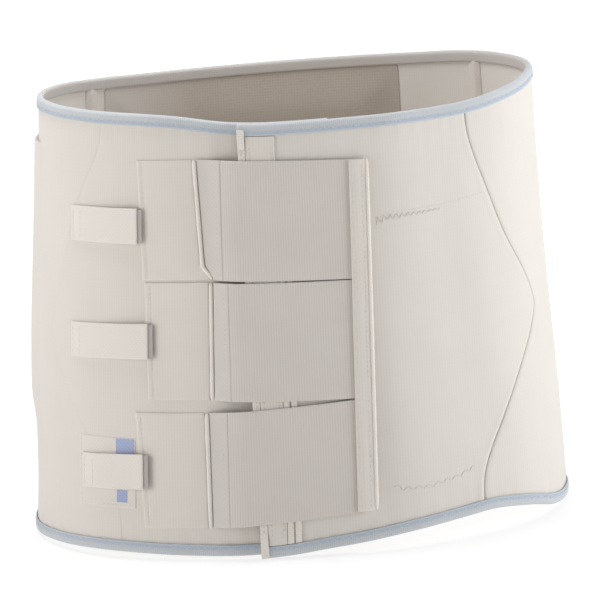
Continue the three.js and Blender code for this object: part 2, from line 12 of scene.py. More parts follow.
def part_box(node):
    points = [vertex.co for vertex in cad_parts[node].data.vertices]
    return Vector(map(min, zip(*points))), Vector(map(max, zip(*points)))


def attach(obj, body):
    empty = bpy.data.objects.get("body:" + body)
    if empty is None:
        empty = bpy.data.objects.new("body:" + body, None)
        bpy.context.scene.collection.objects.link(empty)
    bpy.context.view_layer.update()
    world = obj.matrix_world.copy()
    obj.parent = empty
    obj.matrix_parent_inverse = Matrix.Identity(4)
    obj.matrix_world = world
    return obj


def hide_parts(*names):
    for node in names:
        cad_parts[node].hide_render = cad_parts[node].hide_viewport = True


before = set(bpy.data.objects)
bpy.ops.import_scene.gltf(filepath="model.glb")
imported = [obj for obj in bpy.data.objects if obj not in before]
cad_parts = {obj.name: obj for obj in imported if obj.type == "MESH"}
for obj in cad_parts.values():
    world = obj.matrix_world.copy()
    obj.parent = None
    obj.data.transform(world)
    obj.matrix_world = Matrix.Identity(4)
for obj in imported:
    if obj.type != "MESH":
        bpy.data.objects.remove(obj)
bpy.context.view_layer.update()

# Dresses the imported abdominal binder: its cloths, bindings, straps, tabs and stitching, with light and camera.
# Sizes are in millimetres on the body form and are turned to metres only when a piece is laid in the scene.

LOG = logging.getLogger("binder")

Array = np.ndarray
Edge = Callable[[Array], Array]
Level = Callable[[Array, Array], Array]
Place = tuple[float, float, float]
Tree = bpy.types.NodeTree
Socket = bpy.types.NodeSocket

TO_METRES = 0.001
# Reach of the strap extensions past the front line, and the hair by which one layer clears another
EXTENSION_REACH = 96
HAIR = 0.02
# How far the lining's pieces reach into the cloth, and how far they stand off it at their edges
LINING_SINK = 0.1
LINING_RISE = 0.2
# Radius of the thread in the plain rows on the front
ROW_THREAD = 0.24

# Bound rims: girth as a share of the half girth, upper and lower rim as shares of the height
RIMS = np.array([
    (-1, 1.045, 0), (-0.8, 1.0433, 0), (-0.7, 1.047, 0), (-0.598, 1.0515, 0.001), (-0.428, 1.047, 0.0095),
    (-0.287, 1.0374, 0.0157), (-0.177, 1.0277, 0.0128), (-0.092, 1.0088, 0.0098), (-0.046, 1.0039, 0.0112),
    (0, 1.0028, 0.0148), (0.08, 1.0032, 0.0268), (0.147, 1.0036, 0.0388), (0.216, 1.0037, 0.0471),
    (0.274, 1.0068, 0.051), (0.343, 1.0187, 0.0347), (0.402, 1.0293, 0.0117), (0.471, 1.042, 0.004),
    (0.598, 1.0497, 0.001), (0.7, 1.0536, 0), (0.8, 1.049, 0), (1, 1.045, 0),
])

# Hexagon seams: height share, right and left seam as shares of the half girth
SEAMS = np.array([
    (0, 0.255, 0.255), (0.1, 0.262, 0.262), (0.229, 0.302, 0.302), (0.334, 0.34, 0.346),
    (0.439, 0.379, 0.386), (0.496, 0.39, 0.395), (0.656, 0.332, 0.364), (0.782, 0.3, 0.338),
    (0.927, 0.271, 0.292), (1.05, 0.27, 0.283),
])

# Soft bulges and dents: girth and height shares, their reaches, depth as a share of the cloth
DENTS = (
    (-0.5, 0.48, 0.16, 0.25, 0.7), (-0.5, 0.12, 0.16, 0.18, -0.7),
    (0.5, 0.15, 0.13, 0.25, 0.4), (0.5, 0.7, 0.13, 0.25, -0.3),
)


def mix(low: Array, high: Array, share: Array) -> Array:
    """Value between two ends at a share."""
    return low + (high - low) * share


def smooth(low: float, high: float, value: Array) -> Array:
    """Soft step from 0 at low to 1 at high."""
    share = np.clip((value - low) / (high - low), 0, 1)
    return share * share * (3 - 2 * share)


def bump(value: Array, centre: float, reach: float) -> Array:
    """Soft bump of height 1 round a centre."""
    return np.exp(-(((value - centre) / reach) ** 2))


def fixed(value: float) -> Callable[..., Array]:
    """Function that gives one value everywhere."""
    return lambda *places: np.full(np.shape(places[0]), float(value))


def table_at(table: Array, column: int, at: Array) -> Array:
    """Smooth curve through one column of a table.

    Args:
        table: rows with the key in the first column.
        column: the column that is read.
        at: keys that are asked for.

    Returns:
        The column's values at those keys.
    """
    keys, values = table[:, 0], table[:, column]
    slopes = np.empty_like(values)
    slopes[1:-1] = (values[2:] - values[:-2]) / (keys[2:] - keys[:-2])
    slopes[0] = (values[1] - values[0]) / (keys[1] - keys[0])
    slopes[-1] = (values[-1] - values[-2]) / (keys[-1] - keys[-2])
    i = np.minimum(np.searchsorted(keys[1:], at, side="left"), len(keys) - 2)
    width = keys[i + 1] - keys[i]
    t = np.clip((at - keys[i]) / width, 0, 1)
    leave = t * (1 - t) ** 2 * width * slopes[i]
    arrive = t * t * (1 - t) * width * slopes[i + 1]
    return mix(values[i], values[i + 1], t * t * (3 - 2 * t)) + leave - arrive


@dataclass(frozen=True)
class Layers:
    """Cloth thicknesses and the gaps between pieces that lie on each other."""

    cloth: float = 1.8
    tape: float = 0.8
    gap: float = 0.3
    binding_gap: float = 0.4
    binding_width: float = 6

    @property
    def fold(self) -> float:
        """From the cloth's rim to the outside of the binding folded round it."""
        return self.binding_gap + self.tape

    @property
    def lap_rise(self) -> float:
        """How far the over panel stands off the under panel's inner side."""
        return self.cloth + 2 * self.fold + self.gap

    @property
    def under_top(self) -> float:
        """Seat on the under and back panels."""
        return self.cloth + self.gap

    @property
    def over_top(self) -> float:
        """Seat on the over panel."""
        return self.lap_rise + self.cloth + self.gap

    @property
    def strap_seat(self) -> float:
        """Seat on the placket facing."""
        return self.over_top + self.tape + self.gap


LAYERS = Layers()


@dataclass(frozen=True)
class BodyForm:
    """The round form that the belt is worn on, with its rims, seams and lap.

    Girth runs round the form at mid height from the front line, positive towards the wearer's left.
    """

    height: float = 262
    top_half_width: float = 151.3
    bottom_half_width: float = 166.7
    top_front_depth: float = 111
    bottom_front_depth: float = 122
    top_back_depth: float = 95
    bottom_back_depth: float = 105
    squareness: float = 2.15
    lean: float = 7.2
    lap_top: float = 31.5
    lap_bottom: float = 24.5
    under_reach: float = 24
    corner_drop: float = 1.4
    corner_fade: float = 42
    lap_fade_start: float = 50
    lap_fade_end: float = 105
    girth_table: tuple[Array, Array] = field(init=False, repr=False)

    def __post_init__(self) -> None:
        """Measures the girth at mid height against the angle."""
        angles = np.linspace(0, math.pi, 721)
        points, _ = self.section(angles, np.full(721, self.height / 2))
        lengths = np.concatenate([[0], np.cumsum(np.linalg.norm(np.diff(points, axis=0), axis=1))])
        object.__setattr__(self, "girth_table", (lengths, angles))

    @property
    def half_girth(self) -> float:
        """Girth from the front line to the middle of the back."""
        return float(self.girth_table[0][-1])

    def section(self, angle: Array, height: Array) -> tuple[Array, Array]:
        """Point and outward normal of the plan section.

        Args:
            angle: turn from the middle of the front, positive towards +X.
            height: height above the floor of the form.

        Returns:
            Points and unit normals.
        """
        share = height / self.height
        front = np.cos(angle) > 0
        depth = np.where(
            front,
            mix(self.bottom_front_depth, self.top_front_depth, share),
            mix(self.bottom_back_depth, self.top_back_depth, share),
        )
        half_width = mix(self.bottom_half_width, self.top_half_width, share)
        power = 2 / self.squareness
        across = np.sign(np.sin(angle)) * np.abs(np.sin(angle)) ** power
        along = -np.sign(np.cos(angle)) * np.abs(np.cos(angle)) ** power
        steep = self.squareness - 1
        normal = np.stack([
            np.sign(across) * np.abs(across) ** steep / half_width,
            np.sign(along) * np.abs(along) ** steep / depth,
            np.zeros_like(across),
        ], axis=-1)
        normal /= np.linalg.norm(normal, axis=-1, keepdims=True)
        point = np.stack([across * half_width + self.lean * (share - 0.5), along * depth, height + 0 * across], -1)
        return point, normal

    def wrap(self, girth: Array) -> Array:
        """Girth brought back to one turn round the front line."""
        turn = 2 * self.half_girth
        return girth - turn * np.round(girth / turn)

    def dents(self, girth: Array, height: Array) -> Array:
        """Depth of the soft bulges and dents.

        Args:
            girth: place round the form.
            height: height on the form.

        Returns:
            How far the cloth stands out.
        """
        total = np.zeros(np.shape(girth))
        for place, rise, reach, climb, depth in DENTS:
            across = (girth / self.half_girth - place) / reach
            up = (height / self.height - rise) / climb
            total = total + depth * LAYERS.cloth * np.exp(-across**2 - up**2)
        return total

    def ripple(self, girth: Array, height: Array) -> Array:
        """Slow waves that knitted elastic keeps after it was handled, the same for every layer.

        Args:
            girth: place round the form.
            height: height on the form.

        Returns:
            How far the cloth stands out.
        """
        turn = math.pi * girth / self.half_girth
        slow = 0.24 * np.sin(12 * turn + 1.3 * np.sin(height / 61)) * np.sin(height / 74 + 0.6)
        quick = 0.12 * np.sin(23 * turn + height / 33 + 2.1)
        return slow + quick

    def point(self, girth: Array, height: Array, offset: Array, rippled: bool = True) -> Array:
        """Point on the form, moved out along its normal.

        Args:
            girth: place round the form.
            height: height on the form.
            offset: distance out from the form.
            rippled: whether the cloth's slow waves are added.

        Returns:
            Points in millimetres.
        """
        girth = self.wrap(girth)
        lengths, angles = self.girth_table
        angle = np.sign(girth) * np.interp(np.abs(girth), lengths, angles)
        point, normal = self.section(angle, height)
        out = offset + self.dents(girth, height)
        if rippled:
            out = out + self.ripple(girth, height)
        return point + normal * np.asarray(out)[..., None]

    def top_rim(self, girth: Array) -> Array:
        """Height of the upper rim."""
        return self.height * table_at(RIMS, 1, self.wrap(girth) / self.half_girth) - LAYERS.fold

    def bottom_rim(self, girth: Array) -> Array:
        """Height of the lower rim."""
        return self.height * table_at(RIMS, 2, self.wrap(girth) / self.half_girth) + LAYERS.fold

    def over_bottom_rim(self, girth: Array) -> Array:
        """Height of the over panel's lower rim, whose front corner hangs lower."""
        fade = smooth(-self.lap_bottom, self.corner_fade - self.lap_bottom, girth)
        return self.bottom_rim(girth) - self.corner_drop * (1 - fade)

    def lap_edge(self, share: Array) -> Array:
        """Girth of the over panel's free edge at a height share."""
        return -mix(self.lap_bottom, self.lap_top, share)

    def seam_right(self, share: Array) -> Array:
        """Girth of the right hexagon seam at a height share."""
        return self.half_girth * table_at(SEAMS, 1, share)

    def seam_left(self, share: Array) -> Array:
        """Girth of the left hexagon seam at a height share."""
        return -self.half_girth * table_at(SEAMS, 2, share)

    def over_level(self, girth: Array) -> Array:
        """Offset of the over panel's inner side, which sinks to the form beyond the lap."""
        return LAYERS.lap_rise * (1 - smooth(self.lap_fade_start, self.lap_fade_end, girth))


@dataclass
class Draft:
    """A closed mesh in millimetres, with a cloth map in millimetres along the girth and up the height."""

    points: Array
    faces: list[tuple[int, ...]]
    cloth_map: Array

    def facing_out(self) -> "Draft":
        """Turns every face outward.

        Returns:
            The same mesh, its faces facing out.
        """
        volume = 0.0
        for size in {len(face) for face in self.faces}:
            ring = self.points[np.array([face for face in self.faces if len(face) == size])]
            for k in range(1, size - 1):
                volume += float(np.einsum("ij,ij->", ring[:, 0], np.cross(ring[:, k], ring[:, k + 1])))
        faces = [tuple(reversed(face)) for face in self.faces] if volume < 0 else self.faces
        return Draft(self.points, faces, self.cloth_map)

    def joined(self, other: "Draft") -> "Draft":
        """Joins this mesh and another one.

        Args:
            other: the mesh that is added.

        Returns:
            A single mesh with both.
        """
        start = len(self.points)
        moved = [tuple(index + start for index in face) for face in other.faces]
        return Draft(
            np.concatenate([self.points, other.points]),
            self.faces + moved,
            np.concatenate([self.cloth_map, other.cloth_map]),
        )


@dataclass(frozen=True)
class Spot:
    """Places on a piece of cloth, with their distances from its four edges."""

    girth: Array
    height: Array
    from_left: Array
    from_right: Array
    from_low: Array
    from_high: Array


Relief = Callable[[Spot], Array]


def spaced(length: float, step: float, radius: float) -> Array:
    """Shares of a length, even in the middle and close together over its rounded ends.

    Args:
        length: the length in millimetres.
        step: the even spacing.
        radius: reach of the rounding at each end.

    Returns:
        Rising shares from 0 to 1.
    """
    reach = min(radius, 0.24 * length)
    ends = reach * np.array([0, 0.12, 0.45])
    count = max(2, math.ceil((length - 2 * reach) / step) + 1)
    middle = np.linspace(reach, length - reach, count)
    return np.concatenate([ends, middle, length - ends[::-1]]) / length


def rounding(distance: Array, radius: float) -> Array:
    """Share of the full thickness at a distance from a rounded edge."""
    share = np.clip(distance / radius, 0, 1)
    return 0.3 + 0.7 * np.sqrt(1 - (1 - share) ** 2)


@dataclass
class ClothPatch:
    """A cut of cloth that lies on the form between two offsets, with soft edges.

    Edges left and right give girth at a height share, low and high give height at a girth.
    """

    left: Edge
    right: Edge
    low: Edge
    high: Edge
    inner: Level
    outer: Level
    step: float = 2.5
    rise: float = 4.0
    radius: float = 0.7
    relief: Optional[Relief] = None
    crispness: Optional[Relief] = None
    spans_rims: bool = False

    def draft(self, form: BodyForm) -> Draft:
        """Meshes the cloth as a closed solid, with its edges rounded as far as its crispness says.

        Args:
            form: the form that it lies on.

        Returns:
            The closed mesh.
        """
        half = np.array([0.5])
        left, right = float(self.left(half)[0]), float(self.right(half)[0])
        centre = np.array([(left + right) / 2])
        low, high = float(self.low(centre)[0]), float(self.high(centre)[0])
        columns = spaced(right - left, self.step, self.radius)
        rows = spaced(high - low, self.rise, self.radius)
        s, t = np.meshgrid(columns, rows)
        level = t if self.spans_rims else mix(low, high, t) / form.height
        west, east = self.left(level), self.right(level)
        girth = mix(west, east, s)
        south, north = self.low(girth), self.high(girth)
        height = mix(south, north, t)
        spot = Spot(girth, height, girth - west, east - girth, height - south, north - height)
        nearest = np.minimum(np.minimum(spot.from_left, spot.from_right), np.minimum(spot.from_low, spot.from_high))
        inner, outer = self.inner(girth, height), self.outer(girth, height)
        crisp = self.crispness(spot) if self.crispness else 1
        full = 1 - crisp * (1 - rounding(nearest, self.radius))
        half_thick = (outer - inner) / 2 * full
        lift = self.relief(spot) * full if self.relief else 0
        sheets = [(inner + outer) / 2 - half_thick, (inner + outer) / 2 + half_thick + lift]
        points = np.concatenate([form.point(girth, height, sheet).reshape(-1, 3) for sheet in sheets])
        cloth_map = np.tile(np.stack([girth, height], -1).reshape(-1, 2), (2, 1))
        return Draft(points, self.faces(*s.shape), cloth_map).facing_out()

    @staticmethod
    def faces(rows: int, columns: int) -> list[tuple[int, ...]]:
        """Quads of two sheets and the narrow wall between them.

        Args:
            rows: points up the cloth.
            columns: points along the cloth.

        Returns:
            The faces as vertex numbers.
        """
        index = np.arange(rows * columns).reshape(rows, columns)
        layer = rows * columns
        a, b, c, d = index[:-1, :-1], index[:-1, 1:], index[1:, 1:], index[1:, :-1]
        inside = np.stack([a, d, c, b], -1).reshape(-1, 4)
        outside = np.stack([a, b, c, d], -1).reshape(-1, 4) + layer
        rim = np.concatenate([index[0, :-1], index[:-1, -1], index[-1, :0:-1], index[:0:-1, 0]])
        following = np.roll(rim, -1)
        wall = np.stack([rim, following, following + layer, rim + layer], -1)
        return [tuple(face) for face in np.concatenate([inside, outside, wall]).tolist()]


def tube_faces(index: Array) -> list[tuple[int, ...]]:
    """Quads round tubes.

    Args:
        index: vertex numbers by tube, ring and side.

    Returns:
        The faces between neighbouring rings.
    """
    following = np.roll(index, -1, axis=2)
    quads = np.stack([index[:, :-1], following[:, :-1], following[:, 1:], index[:, 1:]], -1)
    return [tuple(face) for face in quads.reshape(-1, 4).tolist()]


@dataclass
class Cords:
    """Round cords on the form: rolled edges and single stitches.

    Each row of the arrays is one cord, each column one ring of it.
    """

    girth: Array
    height: Array
    seat: Array
    radius: Array
    sides: int = 6

    def draft(self, form: BodyForm) -> Draft:
        """Meshes all the cords as closed tubes.

        Args:
            form: the form that they lie on.

        Returns:
            One mesh with every cord.
        """
        along_girth = np.gradient(self.girth, axis=1)
        along_height = np.gradient(self.height, axis=1)
        length = np.hypot(along_girth, along_height)
        turn = np.linspace(0, 2 * math.pi, self.sides, endpoint=False)
        side = self.radius[..., None] * np.cos(turn)
        girth = self.girth[..., None] - side * (along_height / length)[..., None]
        height = self.height[..., None] + side * (along_girth / length)[..., None]
        offset = self.seat[..., None] + self.radius[..., None] * np.sin(turn)
        points = form.point(girth, height, offset)
        count, rings, sides = girth.shape
        index = np.arange(count * rings * sides).reshape(count, rings, sides)
        ends = [tuple(face) for face in np.concatenate([index[:, 0, ::-1], index[:, -1]]).tolist()]
        cloth_map = np.stack([girth, height], -1).reshape(-1, 2)
        return Draft(points.reshape(-1, 3), tube_faces(index) + ends, cloth_map).facing_out()


def rolled_edge(
    girth: Edge, low: float, high: float, seat: float, diameter: float, form_height: float,
    rings: int, bluntness: int, waves: Edge,
) -> Cords:
    """Rolls an edge into a cord that runs up the cloth.

    Args:
        girth: girth of its middle at a height share.
        low: height of its lower end.
        high: height of its upper end.
        seat: offset of the cloth that it lies on.
        diameter: its thickness.
        form_height: the form's height.
        rings: rings along it.
        bluntness: how late it narrows towards its ends.
        waves: share by which it swells at a height.

    Returns:
        The cord.
    """
    share = np.linspace(0, 1, rings)
    rise = mix(low, high, share)
    radius = diameter / 2 * np.sqrt(np.clip(1 - (2 * share - 1) ** bluntness, 0.1, 1))
    radius = radius * (1 + waves(rise))
    level = np.full((1, rings), seat + diameter / 2)
    return Cords(girth(rise / form_height)[None], rise[None], level, radius[None], sides=14)


class Stitch(Enum):
    """Kinds of sewn row."""

    LOCK = "straight lockstitch"
    ZIGZAG = "zigzag"


@dataclass
class StitchRow:
    """A row of stitches along a line on the cloth.

    The path is a list of girth and height, and the level gives the cloth's surface under it.
    """

    path: Array
    level: Level
    kind: Stitch = Stitch.LOCK
    pitch: float = 3.0
    width: float = 0.0
    thread: float = 0.3
    end_share: float = 1.0

    def draft(self, form: BodyForm) -> Draft:
        """Meshes the row, each stitch a short thread that dips into the cloth at both ends.

        Args:
            form: the form that the cloth lies on.

        Returns:
            One mesh with every stitch.
        """
        path = np.asarray(self.path, float)
        lengths = np.concatenate([[0], np.cumsum(np.linalg.norm(np.diff(path, axis=0), axis=1))])
        count = max(2, int(lengths[-1] / self.pitch) + 1)
        at = np.linspace(0, lengths[-1], count)
        place = np.stack([np.interp(at, lengths, path[:, k]) for k in range(2)], -1)
        heading = np.gradient(place, axis=0)
        heading /= np.linalg.norm(heading, axis=1, keepdims=True)
        if self.kind is Stitch.ZIGZAG:
            swing = np.where(np.arange(count) % 2, 0.5, -0.5) * self.width * np.linspace(1, self.end_share, count)
            place = place + np.stack([-heading[:, 1], heading[:, 0]], -1) * swing[:, None]
            start, end = place[:-1], place[1:]
        else:
            start, end = place[:-1], mix(place[:-1], place[1:], 0.8)
        t = np.array([0, 0.2, 0.5, 0.8, 1])
        girth = mix(start[:, :1], end[:, :1], t)
        height = mix(start[:, 1:], end[:, 1:], t)
        arch = np.array([-0.7, 0.35, 0.6, 0.35, -0.7]) * self.thread
        radius = np.tile(np.array([0.55, 1, 1, 1, 0.55]) * self.thread, (len(start), 1))
        return Cords(girth, height, self.level(girth, height) + arch, radius, sides=5).draft(form)


def hex_colour(text: str) -> tuple[float, float, float, float]:
    """Turns an sRGB hex colour into linear light.

    Args:
        text: the colour, such as "#e6ddd5".

    Returns:
        Linear red, green and blue, and a full alpha.
    """
    parts = [int(text[k:k + 2], 16) / 255 for k in (1, 3, 5)]
    linear = [v / 12.92 if v <= 0.04045 else ((v + 0.055) / 1.055) ** 2.4 for v in parts]
    return (*linear, 1.0)


def wave_scale(pitch: float) -> float:
    """Scale of a wave texture whose bands come once a pitch, on a map in millimetres."""
    return 2 * math.pi / (20 * pitch)


def add_node(
    tree: Tree, kind: str,
    settings: Optional[dict[str, object]] = None, links: Optional[dict[object, Socket]] = None,
) -> bpy.types.Node:
    """Adds a node with its settings and links.

    Args:
        tree: the node tree.
        kind: the node's type name.
        settings: values by the name of an attribute or an input.
        links: output sockets by the name or number of the input that they feed.

    Returns:
        The new node.
    """
    node = tree.nodes.new(kind)
    for name, value in (settings or {}).items():
        if name in node.inputs:
            node.inputs[name].default_value = value
        else:
            setattr(node, name, value)
    for name, socket in (links or {}).items():
        tree.links.new(socket, node.inputs[name])
    return node


class Run(Enum):
    """Which way the bands of a thread pattern follow each other."""

    GIRTH = "X"
    HEIGHT = "Y"
    SLANT = "DIAGONAL"


@dataclass(frozen=True)
class ThreadSet:
    """Parallel threads: which way they follow each other, how far apart, and how unevenly."""

    run: Run
    pitch: float
    waver: float
    detail: float = 2.0


@dataclass(frozen=True)
class Finish:
    """A cloth finish: two close tones, the darker one painted shade between the threads and random tone elsewhere, a
    thread pattern that raises it, and a soft sheen.
    """

    name: str
    light: str
    shade: str
    roughness: float = 0.85
    sheen: float = 0.25
    relief: float = 0.12
    mottle: float = 45.0

    def material(self) -> bpy.types.Material:
        """Makes the material, once for each finish.

        Returns:
            The node material.
        """
        known = bpy.data.materials.get(self.name)
        if known:
            return known
        made = bpy.data.materials.new(self.name)
        made.use_nodes = True
        tree = made.node_tree
        shader = tree.nodes["Principled BSDF"]
        shader.inputs["Roughness"].default_value = self.roughness
        shader.inputs["Sheen Weight"].default_value = self.sheen
        shader.inputs["Sheen Roughness"].default_value = 0.6
        shader.inputs["Specular IOR Level"].default_value = 0.3
        cloth = add_node(tree, "ShaderNodeUVMap", {"uv_map": "cloth"}).outputs["UV"]
        height = self.pattern(tree, cloth)
        fibre = add_node(tree, "ShaderNodeTexNoise", {"Scale": 1.6, "Detail": 3.0}, {"Vector": cloth})
        fuzzy = add_node(tree, "ShaderNodeMix", {"Factor": 0.3}, {2: height, 3: fibre.outputs["Fac"]})
        bump_size = {"Strength": 0.6, "Distance": self.relief * TO_METRES}
        raised = add_node(tree, "ShaderNodeBump", bump_size, {"Height": fuzzy.outputs[0]})
        tree.links.new(raised.outputs["Normal"], shader.inputs["Normal"])
        tree.links.new(self.colour(tree, cloth, height), shader.inputs["Base Color"])
        return made

    def pattern(self, tree: Tree, cloth: Socket) -> Socket:
        """Height of the threads, 0 to 1, on the cloth map."""
        return add_node(tree, "ShaderNodeTexNoise", {"Scale": 1.0}, {"Vector": cloth}).outputs["Fac"]

    @staticmethod
    def crossing(tree: Tree, cloth: Socket, sets: Sequence[ThreadSet], share: float) -> Socket:
        """Lays two sets of threads across each other.

        Args:
            tree: the node tree.
            cloth: the cloth map.
            sets: the two sets of threads.
            share: how much the second set counts.

        Returns:
            The height of the crossed threads.
        """
        first, second = (
            add_node(
                tree, "ShaderNodeTexWave",
                {"bands_direction": threads.run.value, "Scale": wave_scale(threads.pitch),
                 "Distortion": threads.waver, "Detail": threads.detail},
                {"Vector": cloth},
            ).outputs["Fac"]
            for threads in sets
        )
        return add_node(tree, "ShaderNodeMix", {"Factor": share}, {2: first, 3: second}).outputs[0]

    def colour(self, tree: Tree, cloth: Socket, height: Socket) -> Socket:
        """Cloth colour: the shade tone is painted shade between the threads, and random tone in slow, cloudy patches.

        Args:
            tree: the node tree.
            cloth: the cloth map.
            height: the thread pattern.

        Returns:
            The colour socket.
        """
        cloud = add_node(
            tree, "ShaderNodeTexNoise", {"Scale": 1 / self.mottle, "Detail": 4.0, "Roughness": 0.6},
            {"Vector": cloth},
        )
        # Painted shade: where the threads lie low the colour turns to the shade tone; the cloud mixes in random tone.
        tones = add_node(tree, "ShaderNodeMix", {"Factor": 0.55}, {2: height, 3: cloud.outputs["Fac"]})
        spread = add_node(
            tree, "ShaderNodeMapRange", {"From Min": 0.25, "From Max": 0.7}, {"Value": tones.outputs[0]},
        )
        mixed = add_node(tree, "ShaderNodeMix", {"data_type": "RGBA"}, {"Factor": spread.outputs["Result"]})
        mixed.inputs[6].default_value = hex_colour(self.shade)
        mixed.inputs[7].default_value = hex_colour(self.light)
        return mixed.outputs[2]

    @staticmethod
    def stained(tree: Tree, ground: Socket, stain: str, share: Socket) -> Socket:
        """Lays a second colour over a part of the cloth.

        Args:
            tree: the node tree.
            ground: the cloth's own colour.
            stain: the second colour, in hex.
            share: how much of it shows.

        Returns:
            The colour socket.
        """
        mixed = add_node(tree, "ShaderNodeMix", {"data_type": "RGBA"}, {"Factor": share, 6: ground})
        mixed.inputs[7].default_value = hex_colour(stain)
        return mixed.outputs[2]


@dataclass(frozen=True)
class RaschelKnit(Finish):
    """Elastane and polyamide warp knit from a Raschel machine: matte, with fine upright wales.

    Real wales are about 0.8 mm apart. They are drawn coarser, so that the eye still finds them in the picture.
    """

    wale: float = 1.7
    course: float = 2.3

    def pattern(self, tree: Tree, cloth: Socket) -> Socket:
        """Upright wales crossed by weaker courses, with slow streaks where the yarns were tighter.

        Args:
            tree: the node tree.
            cloth: the cloth map.

        Returns:
            The height of the knit.
        """
        wales = ThreadSet(Run.GIRTH, self.wale, waver=0.8, detail=1.0)
        courses = ThreadSet(Run.HEIGHT, self.course, waver=1.2, detail=1.0)
        knitted = self.crossing(tree, cloth, (wales, courses), 0.18)
        stretched = add_node(tree, "ShaderNodeMapping", {"Scale": (0.45, 0.012, 1)}, {"Vector": cloth})
        streaks = add_node(
            tree, "ShaderNodeTexNoise", {"Scale": 1.0, "Detail": 2.0}, {"Vector": stretched.outputs["Vector"]},
        )
        return add_node(
            tree, "ShaderNodeMix", {"Factor": 0.35}, {2: knitted, 3: streaks.outputs["Fac"]},
        ).outputs[0]


@dataclass(frozen=True)
class WovenTape(Finish):
    """Polyester tape or webbing, woven narrow on a needle loom: flat, with slanting and level threads.

    Real threads lie 0.4 mm apart. They are drawn coarser, so that they show.
    """

    thread: float = 1.3

    def pattern(self, tree: Tree, cloth: Socket) -> Socket:
        """Slanting threads crossed by level ones."""
        sets = (ThreadSet(Run.SLANT, self.thread, waver=0.4), ThreadSet(Run.HEIGHT, self.thread, waver=0.4))
        return self.crossing(tree, cloth, sets, 0.4)


@dataclass(frozen=True)
class CordedElastic(Finish):
    """Woven elastic with rubber warp cords: matte, ribbed upright, with a dull weft between the cords."""

    rib: float = 1.5
    weft: float = 1.6

    def pattern(self, tree: Tree, cloth: Socket) -> Socket:
        """Upright ribs with short weft threads over them."""
        sets = (ThreadSet(Run.GIRTH, self.rib, waver=0.15), ThreadSet(Run.HEIGHT, self.weft, waver=1.5))
        return self.crossing(tree, cloth, sets, 0.12)


@dataclass(frozen=True)
class SpacerMesh(Finish):
    """Knitted spacer cloth over foam: small round pores give the pad a dry, dimpled skin.

    It turns paler towards one side, from pale_start to pale_end along the girth.
    """

    pore: float = 1.8
    paler: str = "#bdb6b0"
    pale_start: float = 490.0
    pale_end: float = 548.0

    def pattern(self, tree: Tree, cloth: Socket) -> Socket:
        """Rows of round pores.

        Args:
            tree: the node tree.
            cloth: the cloth map.

        Returns:
            The height of the cloth between them.
        """
        pores = {"Scale": 1 / self.pore, "Randomness": 0.25}
        away = add_node(tree, "ShaderNodeTexVoronoi", pores, {"Vector": cloth}).outputs["Distance"]
        return add_node(
            tree, "ShaderNodeMapRange", {"From Min": 0.1, "From Max": 0.55}, {"Value": away},
        ).outputs["Result"]

    def colour(self, tree: Tree, cloth: Socket, height: Socket) -> Socket:
        """Pad cloth, paler towards its far side.

        Args:
            tree: the node tree.
            cloth: the cloth map.
            height: the pore pattern.

        Returns:
            The colour socket.
        """
        ground = super().colour(tree, cloth, height)
        along = add_node(tree, "ShaderNodeSeparateXYZ", links={"Vector": cloth}).outputs["X"]
        paler_share = add_node(
            tree, "ShaderNodeMapRange", {"From Min": self.pale_start, "From Max": self.pale_end}, {"Value": along},
        )
        return self.stained(tree, ground, self.paler, paler_share.outputs["Result"])


@dataclass(frozen=True)
class FoldedBinding(Finish):
    """Fold-over elastic binding, woven with a blue line beside its free edge."""

    line: str = "#a8b4c2"
    inside: str = "#b9b3af"
    line_start: float = 0.9
    line_end: float = 2.8
    fold_start: float = 8.4
    fold_end: float = 10.4
    thread: float = 1.2

    def pattern(self, tree: Tree, cloth: Socket) -> Socket:
        """Short threads that cross the binding."""
        threads = {"bands_direction": Run.GIRTH.value, "Scale": wave_scale(self.thread), "Distortion": 0.8}
        return add_node(tree, "ShaderNodeTexWave", threads, {"Vector": cloth}).outputs["Fac"]

    def colour(self, tree: Tree, cloth: Socket, height: Socket) -> Socket:
        """Pale binding with its blue line, measured across from the free edge, and a greyer inner side.

        Args:
            tree: the node tree.
            cloth: the cloth map.
            height: the thread pattern.

        Returns:
            The colour socket.
        """
        ground = super().colour(tree, cloth, height)
        across = add_node(tree, "ShaderNodeSeparateXYZ", links={"Vector": cloth}).outputs["Y"]
        into_line, past_line, past_fold = (
            add_node(tree, "ShaderNodeMapRange", {"From Min": start, "From Max": end}, {"Value": across})
            for start, end in (
                (self.line_start - 0.5, self.line_start + 0.3),
                (self.line_end - 0.5, self.line_end + 0.9),
                (self.fold_start, self.fold_end),
            )
        )
        past_line.inputs["To Min"].default_value, past_line.inputs["To Max"].default_value = 1.0, 0.0
        on_line = add_node(
            tree, "ShaderNodeMath", {"operation": "MULTIPLY"},
            {0: into_line.outputs["Result"], 1: past_line.outputs["Result"]},
        )
        lined = self.stained(tree, ground, self.line, on_line.outputs[0])
        return self.stained(tree, lined, self.inside, past_fold.outputs["Result"])


